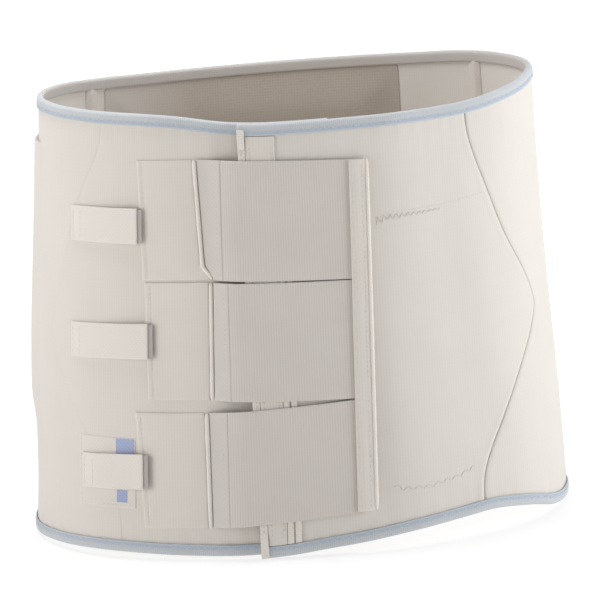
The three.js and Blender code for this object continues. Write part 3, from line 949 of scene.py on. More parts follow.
PANEL_KNIT = RaschelKnit("elastane_raschel_knit", light="#d5cfc8", shade="#cec8c0", relief=0.07)
EDGE_TAPE = WovenTape("polyester_woven_edge_tape", light="#dfd9d2", shade="#d2ccc4", sheen=0.15)
BINDING = FoldedBinding("fold_over_elastic_binding", light="#c0c3c6", shade="#b3b7bb", roughness=0.85, sheen=0.1)
STRAP_ELASTIC = CordedElastic("corded_woven_elastic", light="#cdc6c0", shade="#c3bbb5", relief=0.07)
STRAP_WEB = WovenTape("plain_woven_strap_web", light="#ccc6c0", shade="#c7c0ba", relief=0.035)
STRAP_CLOTH = RaschelKnit(
    "brushed_loop_knit", light="#d6d0c9", shade="#cfc9c1", roughness=0.95, sheen=0.3, relief=0.07,
)
TAB_CLOTH = WovenTape("tight_woven_tab_webbing", light="#dbd5ce", shade="#d4cec7", relief=0.045)
LABEL_CLOTH = WovenTape("satin_woven_label_tape", light="#d7d1ca", shade="#d0cac3", roughness=0.7, relief=0.03)
LABEL_PRINT = WovenTape("blue_dyed_label_tape", light="#a3accb", shade="#8f9ac0", roughness=0.7, relief=0.03)
PAD_CLOTH = SpacerMesh("knitted_spacer_over_foam", light="#afa59a", shade="#a69a90", relief=0.08)
# Rolled edges: lighter than the panel, partly the braid's own paler colour and partly painted highlight along the
# rolls.
ROLLED_EDGE = WovenTape("rolled_braid_paler_with_painted_highlight", light="#e3ddd7", shade="#dcd6cf", sheen=0.15, relief=0.03)
LINING_TAPE = WovenTape("brushed_lining_tape", light="#cfc8c1", shade="#c7c0b8", relief=0.05)
# Dark strip tones: painted shadow under each tab's lifted end.
TAB_SHADOW_STRIP = WovenTape(
    "dark_strip_painted_as_tab_shadow", light="#b3aaa6", shade="#a39a97", roughness=0.7, relief=0.08, thread=0.9,
)
THREAD = WovenTape("spun_polyester_thread", light="#d6d0c9", shade="#c3bcb5", roughness=0.6, relief=0.05)


class Bench:
    """Where drafts on the form become pieces of the scene."""

    def __init__(self, form: BodyForm) -> None:
        """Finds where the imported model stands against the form.

        Args:
            form: the body form.
        """
        self.form = form
        self.shift = self.find_shift()
        self.count = 0

    def find_shift(self) -> Array:
        """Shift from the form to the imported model, from the back panel's lowest corner.

        Returns:
            The shift in millimetres.
        """
        form = self.form
        left = form.seam_right(np.array([0.5]))[0] + LAYERS.gap
        right = 2 * form.half_girth + form.seam_left(np.array([0.5]))[0] - LAYERS.gap
        columns = math.ceil((right - left) / 8)
        s, t = np.meshgrid(np.linspace(0, 1, columns + 1), np.linspace(0, 1, 7))
        west = form.seam_right(t) + LAYERS.gap
        east = 2 * form.half_girth + form.seam_left(t) - LAYERS.gap
        girth = mix(west, east, s)
        height = mix(form.bottom_rim(girth), form.top_rim(girth), t)
        sheets = [form.point(girth, height, np.full(girth.shape, out), rippled=False) for out in (0, LAYERS.cloth)]
        corner = np.concatenate([sheet.reshape(-1, 3) for sheet in sheets]).min(axis=0)
        return np.array(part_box("back_panel")[0]) / TO_METRES - corner

    def lay(
        self, name: str, draft: Draft, finish: Finish, slot: str, nodes: Sequence[str] = (),
    ) -> bpy.types.Object:
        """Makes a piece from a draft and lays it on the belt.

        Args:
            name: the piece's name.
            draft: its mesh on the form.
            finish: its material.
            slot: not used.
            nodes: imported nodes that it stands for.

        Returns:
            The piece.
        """
        mesh = bpy.data.meshes.new(name)
        mesh.from_pydata(((draft.points + self.shift) * TO_METRES).tolist(), [], draft.faces)
        corners = np.empty(len(mesh.loops), dtype=np.int32)
        mesh.loops.foreach_get("vertex_index", corners)
        layer = mesh.uv_layers.new(name="cloth")
        layer.data.foreach_set("uv", draft.cloth_map[corners].ravel())
        mesh.polygons.foreach_set("use_smooth", np.ones(len(mesh.polygons), dtype=bool))
        mesh.materials.append(finish.material())
        mesh.update()
        piece = bpy.data.objects.new(name, mesh)
        bpy.context.scene.collection.objects.link(piece)
        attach(piece, "root")
        if nodes:
            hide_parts(*nodes)
        self.count += 1
        LOG.info("%s: %d faces in %s", name, len(mesh.polygons), finish.name)
        return piece

    def sew(self, name: str, rows: Sequence[StitchRow], slot: str) -> bpy.types.Object:
        """Makes one piece of thread from several rows of stitches.

        Args:
            name: the piece's name.
            rows: the rows of stitches.
            slot: passed on to lay, which does not use it.

        Returns:
            The piece.
        """
        drafts = [row.draft(self.form) for row in rows]
        whole = drafts[0]
        for draft in drafts[1:]:
            whole = whole.joined(draft)
        return self.lay(name, whole, THREAD, slot)


def sheet_area(draft: Draft) -> float:
    """Measures one side of a cloth draft.

    Args:
        draft: the closed mesh.

    Returns:
        The area in square metres.
    """
    quads = draft.points[np.array([face for face in draft.faces if len(face) == 4])]
    cross = np.cross(quads[:, 2] - quads[:, 0], quads[:, 3] - quads[:, 1])
    return float(np.linalg.norm(cross, axis=1).sum()) / 4 * TO_METRES**2


def upright(girth: Callable[[Array], Array], low: float, high: float, height: float, count: int = 24) -> Array:
    """Path up the cloth along an edge.

    Args:
        girth: girth at a height share.
        low: lowest height.
        high: highest height.
        height: the form's height.
        count: points on the path.

    Returns:
        Girth and height of each point.
    """
    rise = np.linspace(low, high, count)
    return np.stack([girth(rise / height), rise], -1)


def level_row(height: Callable[[Array], Array], left: float, right: float, count: int = 24) -> Array:
    """Path along the girth at a height that follows an edge.

    Args:
        height: height at a girth.
        left: girth of one end.
        right: girth of the other end.
        count: points on the path.

    Returns:
        Girth and height of each point.
    """
    girth = np.linspace(left, right, count)
    return np.stack([girth, height(girth)], -1)


@dataclass
class Panels:
    """The three knitted panels, which meet at the hexagon seams, and what is sewn into them."""

    bench: Bench
    seam_radius: float = 1.5
    seam_roll: float = 0.28
    pucker: float = 0.16
    pressed_gap: float = 0.03
    allowance_width: float = 7.0
    allowance_cloth: float = 0.7
    allowance_gap: float = 0.1
    allowance_margin: float = 8.0
    zigzag_width: float = 4.6
    wave_width: float = 2.6

    def puckers(self, spot: Spot) -> Array:
        """Small folds that the binding's stitching draws into the cloth, and the seams' soft rolls.

        Args:
            spot: places on the panel.

        Returns:
            How far they stand out.
        """
        to_binding = np.minimum(spot.from_high, spot.from_low) - LAYERS.binding_width
        wave = np.sin(2 * math.pi * spot.girth / 10.5 + 1.6 * np.sin(spot.girth / 17))
        to_seam = np.minimum(spot.from_left, spot.from_right)
        roll = self.seam_roll * bump(to_seam, 2.6, 1.4) * self.seam_crispness(spot)
        return self.pucker * wave * np.exp(-np.abs(to_binding) / 10) + roll

    def seam_crispness(self, spot: Spot) -> Array:
        """How deep the seams lie: the left one is pressed flat in its lower half.

        Args:
            spot: places on the panel.

        Returns:
            Share of the full depth.
        """
        form = self.bench.form
        left = form.wrap(spot.girth) < 0
        return np.where(left, mix(0.02, 0.2, smooth(170, 235, spot.height)), 1)

    def build(self) -> None:
        """Cuts the panels, their seam allowances and the stitched lines on the right front."""
        form, gap, cloth = self.bench.form, LAYERS.gap / 2, LAYERS.cloth
        pressed = self.pressed_gap / 2
        back, under = (
            ClothPatch(
                left=left, right=right, low=form.bottom_rim, high=form.top_rim, inner=fixed(0), outer=fixed(cloth),
                radius=self.seam_radius, relief=self.puckers, crispness=self.seam_crispness, spans_rims=True,
            ).draft(form)
            for left, right in (
                (lambda share: form.seam_right(share) + gap,
                 lambda share: 2 * form.half_girth + form.seam_left(share) - pressed),
                (lambda share: form.seam_left(share) + pressed, fixed(form.under_reach)),
            )
        )
        over = ClothPatch(
            left=form.lap_edge, right=lambda share: form.seam_right(share) - gap,
            low=form.over_bottom_rim, high=form.top_rim,
            inner=lambda girth, height: form.over_level(girth),
            outer=lambda girth, height: form.over_level(girth) + cloth,
            radius=self.seam_radius, relief=self.puckers, spans_rims=True,
        ).draft(form)
        for name, draft, width, node in (
            ("back_panel_cloth", back, 0.64, "back_panel"),
            ("front_panel_under_cloth", under, 0.2, "front_panel_under"),
            ("front_panel_over_cloth", over, 0.2, "front_panel_over"),
        ):
            piece = self.bench.lay(name, draft, PANEL_KNIT, "panel_knit", (node,))
            sheet_area(draft)
        self.allowances()
        self.stitched_lines()

    def allowances(self) -> None:
        """Seam allowances turned to the inside, which close the seams from behind."""
        form, half = self.bench.form, self.allowance_width / 2
        for side, seam in (("right", form.seam_right), ("left", form.seam_left)):
            strip = ClothPatch(
                left=lambda share, seam=seam: seam(share) - half,
                right=lambda share, seam=seam: seam(share) + half,
                low=lambda girth: form.bottom_rim(girth) + self.allowance_margin,
                high=lambda girth: form.top_rim(girth) - self.allowance_margin,
                inner=fixed(-self.allowance_gap - self.allowance_cloth), outer=fixed(-self.allowance_gap),
                step=1.5,
            ).draft(form)
            self.bench.lay(f"seam_allowance_{side}", strip, PANEL_KNIT, "panel_knit")

    def stitched_lines(self) -> None:
        """The zigzag line on the right front, and the wavy one below it."""
        form = self.bench.form

        def surface(girth: Array, height: Array) -> Array:
            """Outer side of the over panel."""
            return form.over_level(girth) + LAYERS.cloth

        upper = np.array([(49.5, 199.5), (57, 201.5), (73, 201.6), (93, 202), (112, 203.4), (129, 205)])
        lower = np.array([(52, 40), (56, 37), (74, 36), (94, 39), (106, 43)])
        rows = [
            StitchRow(upper[:4], surface, Stitch.ZIGZAG, pitch=1.9, width=self.zigzag_width, thread=0.24,
                      end_share=0.2),
            StitchRow(upper + (0, 2.6), surface, pitch=3.2, thread=0.16),
            StitchRow(lower, surface, Stitch.ZIGZAG, pitch=3.1, width=self.wave_width, thread=0.2),
        ]
        self.bench.sew("front_zigzag_stitches", rows, "panel_knit")


@dataclass
class Bindings:
    """Folded bindings round both rims, with a blue line and zigzag stitching."""

    bench: Bench
    step: float = 2.0
    swell: float = 0.03
    stitch_from_edge: float = 2.4
    back_start: float = -30.2
    back_end: float = 200.0
    flat: tuple[float, float] = (0.93, 0.0185)

    def section(self) -> tuple[Array, Array, Array]:
        """Closed section of the folded tape.

        Returns:
            Offsets from the cloth's middle, rises past the rim, and distances across from the free edge.
        """
        tape, gap, width = LAYERS.tape, LAYERS.binding_gap, LAYERS.binding_width
        outer = LAYERS.cloth / 2 + gap + tape
        inner = outer - tape
        fold = gap + tape - outer
        legs = np.array([-width, -width + 0.25, -width + 1.2, -4.4, -2.4])
        turn = np.linspace(0, math.pi, 9)
        skin_x = np.concatenate([np.full(5, outer), outer * np.cos(turn), np.full(5, -outer)])
        skin_y = np.concatenate([legs, fold + outer * np.sin(turn), legs[::-1]])
        skin_x[[0, -1]] *= 1 - 0.35 * tape / outer
        lining_x = np.concatenate([np.full(5, -inner), -inner * np.cos(turn), np.full(5, inner)])
        lining_y = np.concatenate([legs, fold + inner * np.sin(turn), legs[::-1]])
        x, y = np.concatenate([skin_x, lining_x]), np.concatenate([skin_y, lining_y])
        skin_across = np.concatenate([[0], np.cumsum(np.hypot(np.diff(skin_x), np.diff(skin_y)))])
        return x, y, np.concatenate([skin_across, skin_across[::-1]])

    def sweep(self, upward: int, lap_reach: float) -> Draft:
        """Carries the section round a rim, from the under panel's end to the lap's free edge.

        Args:
            upward: 1 for the upper rim, -1 for the lower one.
            lap_reach: reach of the over panel past the front line.

        Returns:
            The binding's mesh.
        """
        form = self.bench.form
        x, y, across = self.section()
        start, end = form.under_reach, -2 * form.half_girth - lap_reach
        unrolled = np.linspace(start, end, math.ceil((start - end) / self.step) + 1)
        over = unrolled < -form.half_girth
        girth = form.wrap(unrolled)
        level = np.where(over, form.over_level(girth), 0) + LAYERS.cloth / 2
        if upward > 0:
            rim = form.top_rim(girth)
        else:
            rim = np.where(over, form.over_bottom_rim(girth), form.bottom_rim(girth))
        pull = self.swell * np.sin(2 * math.pi * unrolled / 6.4 + np.sin(unrolled / 19))
        offset = level[:, None] + x[None] * (1 + pull[:, None])
        height = rim[:, None] + upward * y[None]
        girths = np.broadcast_to(girth[:, None], offset.shape)
        points = form.point(girths, height, offset)
        rings, sides = offset.shape
        index = np.arange(rings * sides).reshape(rings, sides)
        faces = tube_faces(index[None])
        half = sides // 2
        for ring, flip in ((index[0], False), (index[-1], True)):
            for k in range(half - 1):
                cap = (ring[k], ring[k + 1], ring[sides - 2 - k], ring[sides - 1 - k])
                faces.append(tuple(int(v) for v in (cap if flip else cap[::-1])))
        cloth_map = np.stack([
            np.broadcast_to(unrolled[:, None], offset.shape), np.broadcast_to(across[None], offset.shape),
        ], -1)
        return Draft(points.reshape(-1, 3), faces, cloth_map.reshape(-1, 2)).facing_out()

    def build(self) -> None:
        """Folds both bindings and sews them down."""
        form = self.bench.form
        for name, upward, lap_reach in (("top", 1, form.lap_top), ("bottom", -1, form.lap_bottom)):
            draft = self.sweep(upward, lap_reach)
            piece = self.bench.lay(f"{name}_binding_tape", draft, BINDING, "binding_tape", (f"{name}_binding",))
            self.bench.sew(f"{name}_binding_stitches", self.rows(upward, lap_reach), "binding_tape")

    def rows(self, upward: int, lap_reach: float) -> list[StitchRow]:
        """Zigzag rows on the outer leg: one round the back, and one on the over panel.

        Args:
            upward: 1 for the upper rim, -1 for the lower one.
            lap_reach: reach of the over panel past the front line.

        Returns:
            The rows.
        """
        form = self.bench.form
        face = LAYERS.cloth + LAYERS.binding_gap + LAYERS.tape
        drop = LAYERS.binding_width - self.stitch_from_edge
        rim = form.top_rim if upward > 0 else form.bottom_rim
        over_rim = form.top_rim if upward > 0 else form.over_bottom_rim

        def under(girth: Array, height: Array) -> Array:
            """Outer face of the binding on the under and back panels."""
            return np.full(np.shape(girth), face)

        def over(girth: Array, height: Array) -> Array:
            """Outer face of the binding on the over panel."""
            return form.over_level(girth) + face

        end = self.back_end - 2 * form.half_girth
        round_back = level_row(lambda g: rim(g) - upward * drop, self.back_start, end, 160)
        lapped = level_row(lambda g: over_rim(g) - upward * drop, self.back_end, -lap_reach + 6, 60)
        return [
            StitchRow(path, level, Stitch.ZIGZAG, pitch=2.3, width=1.8, thread=0.13)
            for path, level in ((round_back, under), (lapped, over))
        ]


@dataclass
class Placket:
    """What is sewn along the lap's free edge: edge tape, flat facing and the double stay channel."""

    bench: Bench
    tape_width: float = 4.3
    tape_top_margin: float = 2.5
    tape_ease: float = 3
    facing_top_width: float = 18
    facing_bottom_width: float = 10
    facing_height: float = 248
    ridge_width: float = 3.5
    ridge_groove: float = 1
    channel_top_margin: float = 34
    stitch_low: float = 14.0
    stitch_top_margin: float = 12.0
    tack_heights: tuple[float, ...] = (247.5, 246.7)

    def build(self) -> None:
        """Lays the tape, the facing and the channels, and sews them."""
        form, tape, gap = self.bench.form, LAYERS.tape, LAYERS.gap
        clearance = LAYERS.binding_width + gap

        def over_binding(girth: Array, height: Array) -> Array:
            """Seat of the tape, which rises over both bindings.

            Args:
                girth: place round the form.
                height: height on the form.

            Returns:
                Offset of the tape's inner side.
            """
            to_rim = np.minimum(form.top_rim(girth) - height, height - form.over_bottom_rim(girth))
            start = clearance + self.tape_ease
            return LAYERS.over_top + (tape + gap) * (1 - smooth(start, start + clearance, to_rim))

        edge = ClothPatch(
            left=lambda share: form.lap_edge(share) - gap,
            right=lambda share: form.lap_edge(share) - gap + self.tape_width,
            low=lambda girth: form.over_bottom_rim(girth) - tape,
            high=lambda girth: form.top_rim(girth) - self.tape_top_margin,
            inner=over_binding, outer=lambda girth, height: over_binding(girth, height) + tape,
            step=0.6, rise=1.6, radius=0.5,
            relief=lambda spot: 0.12 * np.sin(2 * math.pi * spot.height / 3.2) * bump(spot.from_left, 2.1, 1.2),
        ).draft(form)
        self.bench.lay("front_edge_tape_cloth", edge, EDGE_TAPE, "edge_tape", ("front_edge_tape",))

        def facing_left(share: Array) -> Array:
            """Girth of the facing's left edge."""
            return form.lap_edge(share) + self.tape_width

        def facing_right(share: Array) -> Array:
            """Girth of the facing's right edge, which nears the tape further down."""
            return facing_left(share) + mix(self.facing_bottom_width, self.facing_top_width, share)

        facing = ClothPatch(
            left=facing_left, right=facing_right,
            low=lambda girth: form.over_bottom_rim(girth) + clearance,
            high=lambda girth: form.top_rim(girth) - clearance,
            inner=fixed(LAYERS.over_top), outer=fixed(LAYERS.over_top + tape), radius=0.5,
        ).draft(form)
        piece = self.bench.lay("placket_facing_cloth", facing, PANEL_KNIT, "panel_knit", ("placket_facing",))
        sheet_area(facing)
        for index, side in enumerate(("left", "right")):
            start = gap + index * (self.ridge_width + self.ridge_groove)
            ridge = ClothPatch(
                left=lambda share, start=start: facing_right(share) + start,
                right=lambda share, start=start: facing_right(share) + start + self.ridge_width,
                low=lambda girth: form.over_bottom_rim(girth) + clearance,
                high=lambda girth: form.top_rim(girth) - self.channel_top_margin,
                inner=fixed(LAYERS.over_top), outer=fixed(LAYERS.over_top + tape), step=0.5, radius=1.2,
            ).draft(form)
            self.bench.lay(
                f"stay_channel_{side}_tape", ridge, EDGE_TAPE, "edge_tape", (f"front_stay_channel_{side}",),
            )
        self.sew(facing_left, facing_right)

    def sew(self, facing_left: Edge, facing_right: Edge) -> None:
        """Straight rows down the tape and both sides of the facing, and a bar tack below the upper binding.

        Args:
            facing_left: girth of the facing's left edge at a height share.
            facing_right: girth of its right edge.
        """
        form = self.bench.form
        low, high = self.stitch_low, form.height - self.stitch_top_margin
        face = fixed(LAYERS.over_top + LAYERS.tape)
        rows = [
            StitchRow(upright(lambda share: edge(share) + inset, low, high, form.height), face, thread=ROW_THREAD)
            for edge, inset in ((form.lap_edge, 1.9), (facing_left, 2.0), (facing_right, -1.6))
        ]
        for rise in self.tack_heights:
            tack = level_row(fixed(rise), -form.lap_top + 0.6, -25.5, 6)
            rows.append(StitchRow(tack, face, pitch=2.6, thread=0.32))
        self.bench.sew("placket_stitches", rows, "edge_tape")


@dataclass(frozen=True)
class StrapSizes:
    """One strap: heights as shares of the form's height, reaches as shares of the common ones."""

    name: str
    left_low: float
    left_high: float
    right_low: float
    right_high: float
    bead_top: float
    bead_bottom: float
    web_end: float
    extension_top: float
    extension_bottom: float
    tab_end: float
    tab_length: float
    tab_rise: float
    tab_tilt: float = 0.0
    bead_tail: float = 0.0
    has_label: bool = False

    @property
    def tab_middle(self) -> float:
        """Height share of the tab's middle."""
        return (self.left_low + self.left_high) / 2 + self.tab_rise


STRAPS = (
    StrapSizes(
        "top", left_low=0.653, left_high=0.927, right_low=0.6385, right_high=0.91,
        bead_top=1.078, bead_bottom=0.996, bead_tail=0.09, web_end=0.771, extension_top=1.01, extension_bottom=0.977,
        tab_end=1.03, tab_length=0.98, tab_rise=-0.012,
    ),
    StrapSizes(
        "middle", left_low=0.376, left_high=0.647, right_low=0.3635, right_high=0.6365,
        bead_top=0.915, bead_bottom=0.93, web_end=0.715, extension_top=0.964, extension_bottom=0.948,
        tab_end=0.965, tab_length=1.09, tab_rise=-0.005, tab_tilt=0.03,
    ),
    StrapSizes(
        "bottom", left_low=0.077, left_high=0.346, right_low=0.102, right_high=0.362,
        bead_top=0.996, bead_bottom=0.978, web_end=0.764, extension_top=1.04, extension_bottom=0.985,
        tab_end=1.006, tab_length=0.83, tab_rise=-0.01, tab_tilt=0.05, has_label=True,
    ),
)


@dataclass
class StayBand:
    """The upright band that holds the straps' right ends, with its piped edge."""

    bench: Bench
    top_girth: float = 35
    bottom_girth: float = 29.3
    width: float = 9.4
    cloth: float = 1.4
    overlap: float = 4
    turned_edge: float = 0.5
    margin_top: float = 24
    margin_bottom: float = 27
    bead_diameter: float = 2.2
    elastic: float = 1.3
    stitch_inset: float = 1.7

    def edge(self, share: Array) -> Array:
        """Girth of the band's left edge at a height share."""
        return mix(self.bottom_girth, self.top_girth, share)

    def build(self) -> None:
        """Lays the base, the crowned cover and the piping, and sews the band down."""
        form = self.bench.form
        low, high = self.margin_bottom, form.height - self.margin_top
        seat = LAYERS.strap_seat + self.elastic + LAYERS.gap
        cover = ClothPatch(
            left=self.edge, right=lambda share: self.edge(share) + self.width,
            low=fixed(low), high=fixed(high), inner=fixed(seat), outer=fixed(seat + self.cloth),
            step=0.9, rise=3.0, radius=0.8,
            relief=lambda spot: 0.35 * bump(spot.from_left, self.width / 2, 2.6)
            + 0.1 * np.sin(2 * math.pi * spot.height / 6.2) * bump(spot.from_left, 1.6, 1.4),
        ).draft(form)
        piece = self.bench.lay("stay_band_cover_cloth", cover, STRAP_CLOTH, "strap_cloth", ("stay_band_cover",))
        base = ClothPatch(
            left=lambda share: self.edge(share) + self.overlap + LAYERS.gap,
            right=lambda share: self.edge(share) + self.width,
            low=fixed(low), high=fixed(high), inner=fixed(LAYERS.over_top), outer=fixed(seat - LAYERS.gap),
        ).draft(form)
        self.bench.lay("stay_band_base_cloth", base, STRAP_CLOTH, "strap_cloth", ("stay_band",))
        bead = rolled_edge(
            lambda share: self.edge(share) + self.width + self.bead_diameter / 2 + LAYERS.gap,
            low, high, seat - LAYERS.gap, self.bead_diameter, form.height, rings=90, bluntness=40,
            waves=lambda rise: 0.05 * np.sin(rise / 1.7),
        ).draft(form)
        self.bench.lay("stay_band_piping", bead, ROLLED_EDGE, "edge_tape", ("stay_band_bead",))
        face = fixed(seat + self.cloth)
        rows = [
            StitchRow(
                upright(lambda share: self.edge(share) + inset, low + 2, high - 2, form.height), face,
                thread=ROW_THREAD,
            )
            for inset in (self.stitch_inset, self.width - self.stitch_inset)
        ]
        self.bench.sew("stay_band_stitches", rows, "strap_cloth")


@dataclass
class Strap:
    """One strap: ribbed elastic, plain woven end, rolled edge, plain extension and pull tab."""

    bench: Bench
    sizes: StrapSizes
    stay: StayBand
    reach: float = 55
    bead_diameter: float = 2.6
    elastic: float = 1.3
    end_web: float = 1.6
    rise_length: float = 24
    extension_cloth: float = 0.9
    tab_reach: float = 93
    tab_length: float = 54
    tab_width: float = 21.5
    tab_cloth: float = 1.2
    tab_lift: float = 2.6
    # Sizes of the dark strip that is painted shadow under the tab's free end
    shadow_strip_length: float = 14
    shadow_strip_reach: float = 3.0
    shadow_strip_inset: float = 0.7
    shadow_strip_cloth: float = 0.6
    shadow_strip_sink: float = 0.2
    label_cloth: float = 0.4
    rib: float = 1.5
    rib_height: float = 0.06
    groove: float = 0.12
    row_inset: float = 3.2
    row_margin: float = 2.0
    elastic_length: float = 80
    web_length: float = 14.5
    extension_length: float = 42
    tab_step: float = 1.4
    tab_margin: float = 2.0
    sewn_length: float = 9.0

    def edge(self, left: float, right: float) -> Edge:
        """Height along one edge, from the rolled end to the stay band.

        Args:
            left: height share at the rolled end.
            right: height share at the stay band.

        Returns:
            Height at a girth.
        """
        height, reach, far = self.bench.form.height, self.reach, self.stay.top_girth
        return lambda girth: height * mix(left, right, np.clip((girth + reach) / (reach + far), 0, 1))

    @property
    def low(self) -> Edge:
        """Height of the strap's lower edge at a girth."""
        return self.edge(self.sizes.left_low, self.sizes.right_low)

    @property
    def high(self) -> Edge:
        """Height of the strap's upper edge at a girth."""
        return self.edge(self.sizes.left_high, self.sizes.right_high)

    def row_up(self, girth: Edge) -> Array:
        """Path of a stitched row up the strap, a little short of both edges."""
        start, end = self.bench.form.height * self.sizes.left_low, self.bench.form.height * self.sizes.left_high
        return upright(girth, start + self.row_margin, end - self.row_margin, self.bench.form.height)

    def seat(self, girth: Array, height: Optional[Array] = None) -> Array:
        """Offset of the strap's inner side, which climbs from the left panel onto the facing."""
        climb = smooth(-self.reach, self.rise_length - self.reach, girth)
        return mix(LAYERS.under_top, LAYERS.strap_seat, climb)

    def share(self, level: Array) -> Array:
        """Share of the strap's own height at a height share of the form."""
        sizes = self.sizes
        return np.clip((level - sizes.left_low) / (sizes.left_high - sizes.left_low), 0, 1)

    def bead(self, level: Array) -> Array:
        """Girth of the rolled edge, whose lower end may turn in towards the next strap."""
        tail = self.sizes.bead_tail * smooth(0.13, 0, self.share(level))
        return -self.reach * (mix(self.sizes.bead_bottom, self.sizes.bead_top, self.share(level)) - tail)

    def web_left(self, level: Array) -> Array:
        """Girth of the woven end's left edge."""
        return self.bead(level) + self.bead_diameter / 2 + LAYERS.gap

    def web_right(self, level: Array) -> Array:
        """Girth of the woven end's right edge, where the ribs start."""
        return np.full(np.shape(level), -self.reach * self.sizes.web_end)

    def extension_left(self, level: Array) -> Array:
        """Girth of the extension's left edge."""
        return -EXTENSION_REACH * mix(self.sizes.extension_bottom, self.sizes.extension_top, self.share(level))

    def build(self) -> None:
        """Lays the strap's pieces from the stay band out to the tab."""
        self.lay_elastic()
        self.lay_end()
        self.lay_extension()
        self.lay_tab()

    def lay_elastic(self) -> None:
        """The ribbed elastic."""
        name = self.sizes.name
        elastic = ClothPatch(
            left=lambda level: self.web_right(level) - 0.1,
            right=lambda level: self.stay.edge(level) + self.stay.overlap,
            low=self.low, high=self.high, inner=self.seat,
            outer=lambda girth, height: self.seat(girth) + self.elastic,
            step=self.rib / 4, rise=5.0, radius=0.6, crispness=lambda spot: smooth(0, 4, spot.from_left),
            relief=lambda spot: self.rib_height * np.cos(2 * math.pi * spot.from_right / self.rib)
            - self.groove * (bump(spot.from_low, 2.2, 0.9) + bump(spot.from_high, 2.2, 0.9)),
        ).draft(self.bench.form)
        piece = self.bench.lay(f"{name}_strap_elastic", elastic, STRAP_ELASTIC, "ribbed_elastic",
                               (f"strap_elastic_{name}",))

    def lay_end(self) -> None:
        """The plain woven end and its rolled edge."""
        form, name = self.bench.form, self.sizes.name
        web = ClothPatch(
            left=self.web_left, right=self.web_right, low=self.low, high=self.high, inner=self.seat,
            outer=lambda girth, height: self.seat(girth) + self.end_web, step=1.2, radius=0.6,
            relief=lambda spot: self.groove * bump(spot.from_right, 1.4, 0.9),
        ).draft(form)
        piece = self.bench.lay(f"{name}_strap_end_web", web, STRAP_WEB, "strap_web", (f"strap_end_band_{name}",))
        sheet_area(web)
        start, end = form.height * self.sizes.left_low, form.height * self.sizes.left_high
        bead = rolled_edge(
            self.bead, start, end, LAYERS.under_top, self.bead_diameter, form.height, rings=60, bluntness=30,
            waves=lambda rise: 0.03 * np.sin(rise / 1.9) + 0.04 * np.sin(rise / 5.3),
        ).draft(form)
        self.bench.lay(f"{name}_strap_rolled_edge", bead, ROLLED_EDGE, "edge_tape", (f"strap_bead_{name}",))
        row = StitchRow(
            self.row_up(lambda level: self.web_right(level) - self.row_inset),
            lambda girth, height: self.seat(girth) + self.end_web - 0.08, thread=0.15,
        )
        self.bench.sew(f"{name}_strap_end_stitches", [row], "strap_web")

    def lay_extension(self) -> None:
        """The plain piece that fastens the strap to the left panel."""
        name = self.sizes.name
        top = LAYERS.cloth + self.extension_cloth
        extension = ClothPatch(
            left=self.extension_left, right=lambda level: self.bead(level) - self.bead_diameter / 2 - LAYERS.gap,
            low=self.low, high=self.high, inner=fixed(LAYERS.cloth + HAIR), outer=fixed(top), step=1.5, radius=1.6,
            relief=lambda spot: 0.35 * bump(spot.from_left, 1.3, 0.9) - 0.2 * bump(spot.from_left, 3.2, 0.8)
            + 0.1 * np.sin(spot.height / 3.1 + spot.girth / 9) * np.exp(-spot.from_left / 14),
        ).draft(self.bench.form)
        piece = self.bench.lay(f"{name}_strap_extension_cloth", extension, STRAP_CLOTH, "strap_cloth",
                               (f"strap_extension_{name}",))
        path = self.row_up(lambda level: self.extension_left(level) + self.row_inset)
        row = StitchRow(path, fixed(top - 0.15), thread=0.13)
        self.bench.sew(f"{name}_extension_stitches", [row], "strap_cloth")

    def lay_tab(self) -> None:
        """The narrow tab, sewn down at its left end, lifted at its free end, with a dark strip under that end that is
        painted shadow of the lifted end.
        """
        form, sizes = self.bench.form, self.sizes
        end, length = -self.tab_reach * sizes.tab_end, self.tab_length * sizes.tab_length
        middle = form.height * sizes.tab_middle
        base = LAYERS.under_top + (self.label_cloth + LAYERS.gap if sizes.has_label else 0)

        def tilt(girth: Array) -> Array:
            """Rise of the tab along its length."""
            return sizes.tab_tilt * (girth - end + length)

        def lifted(girth: Array, height: Optional[Array] = None) -> Array:
            """Offset of the tab's inner side."""
            return base + self.tab_lift * np.clip((girth - end + length) / length, 0, 1) ** 2

        def face(girth: Array, height: Optional[Array] = None) -> Array:
            """Offset of the tab's outer side, pressed thin where it is sewn down."""
            return lifted(girth) + self.tab_cloth * mix(0.25, 1, smooth(end - length, end - length + 12, girth))

        half = self.tab_width / 2
        tab = ClothPatch(
            left=fixed(end - length), right=fixed(end),
            low=lambda girth: middle - half + tilt(girth), high=lambda girth: middle + half + tilt(girth),
            inner=lifted, outer=face, step=1.5, rise=self.tab_step, radius=0.5,
            relief=lambda spot: 0.16 * (bump(spot.from_low, 1.2, 0.7) + bump(spot.from_high, 1.2, 0.7))
            + 0.25 * bump(spot.from_right, 1.4, 0.8),
        ).draft(form)
        piece = self.bench.lay(f"{sizes.name}_pull_tab_webbing", tab, TAB_CLOTH, "tab_cloth",
                               (f"pull_tab_{sizes.name}",))
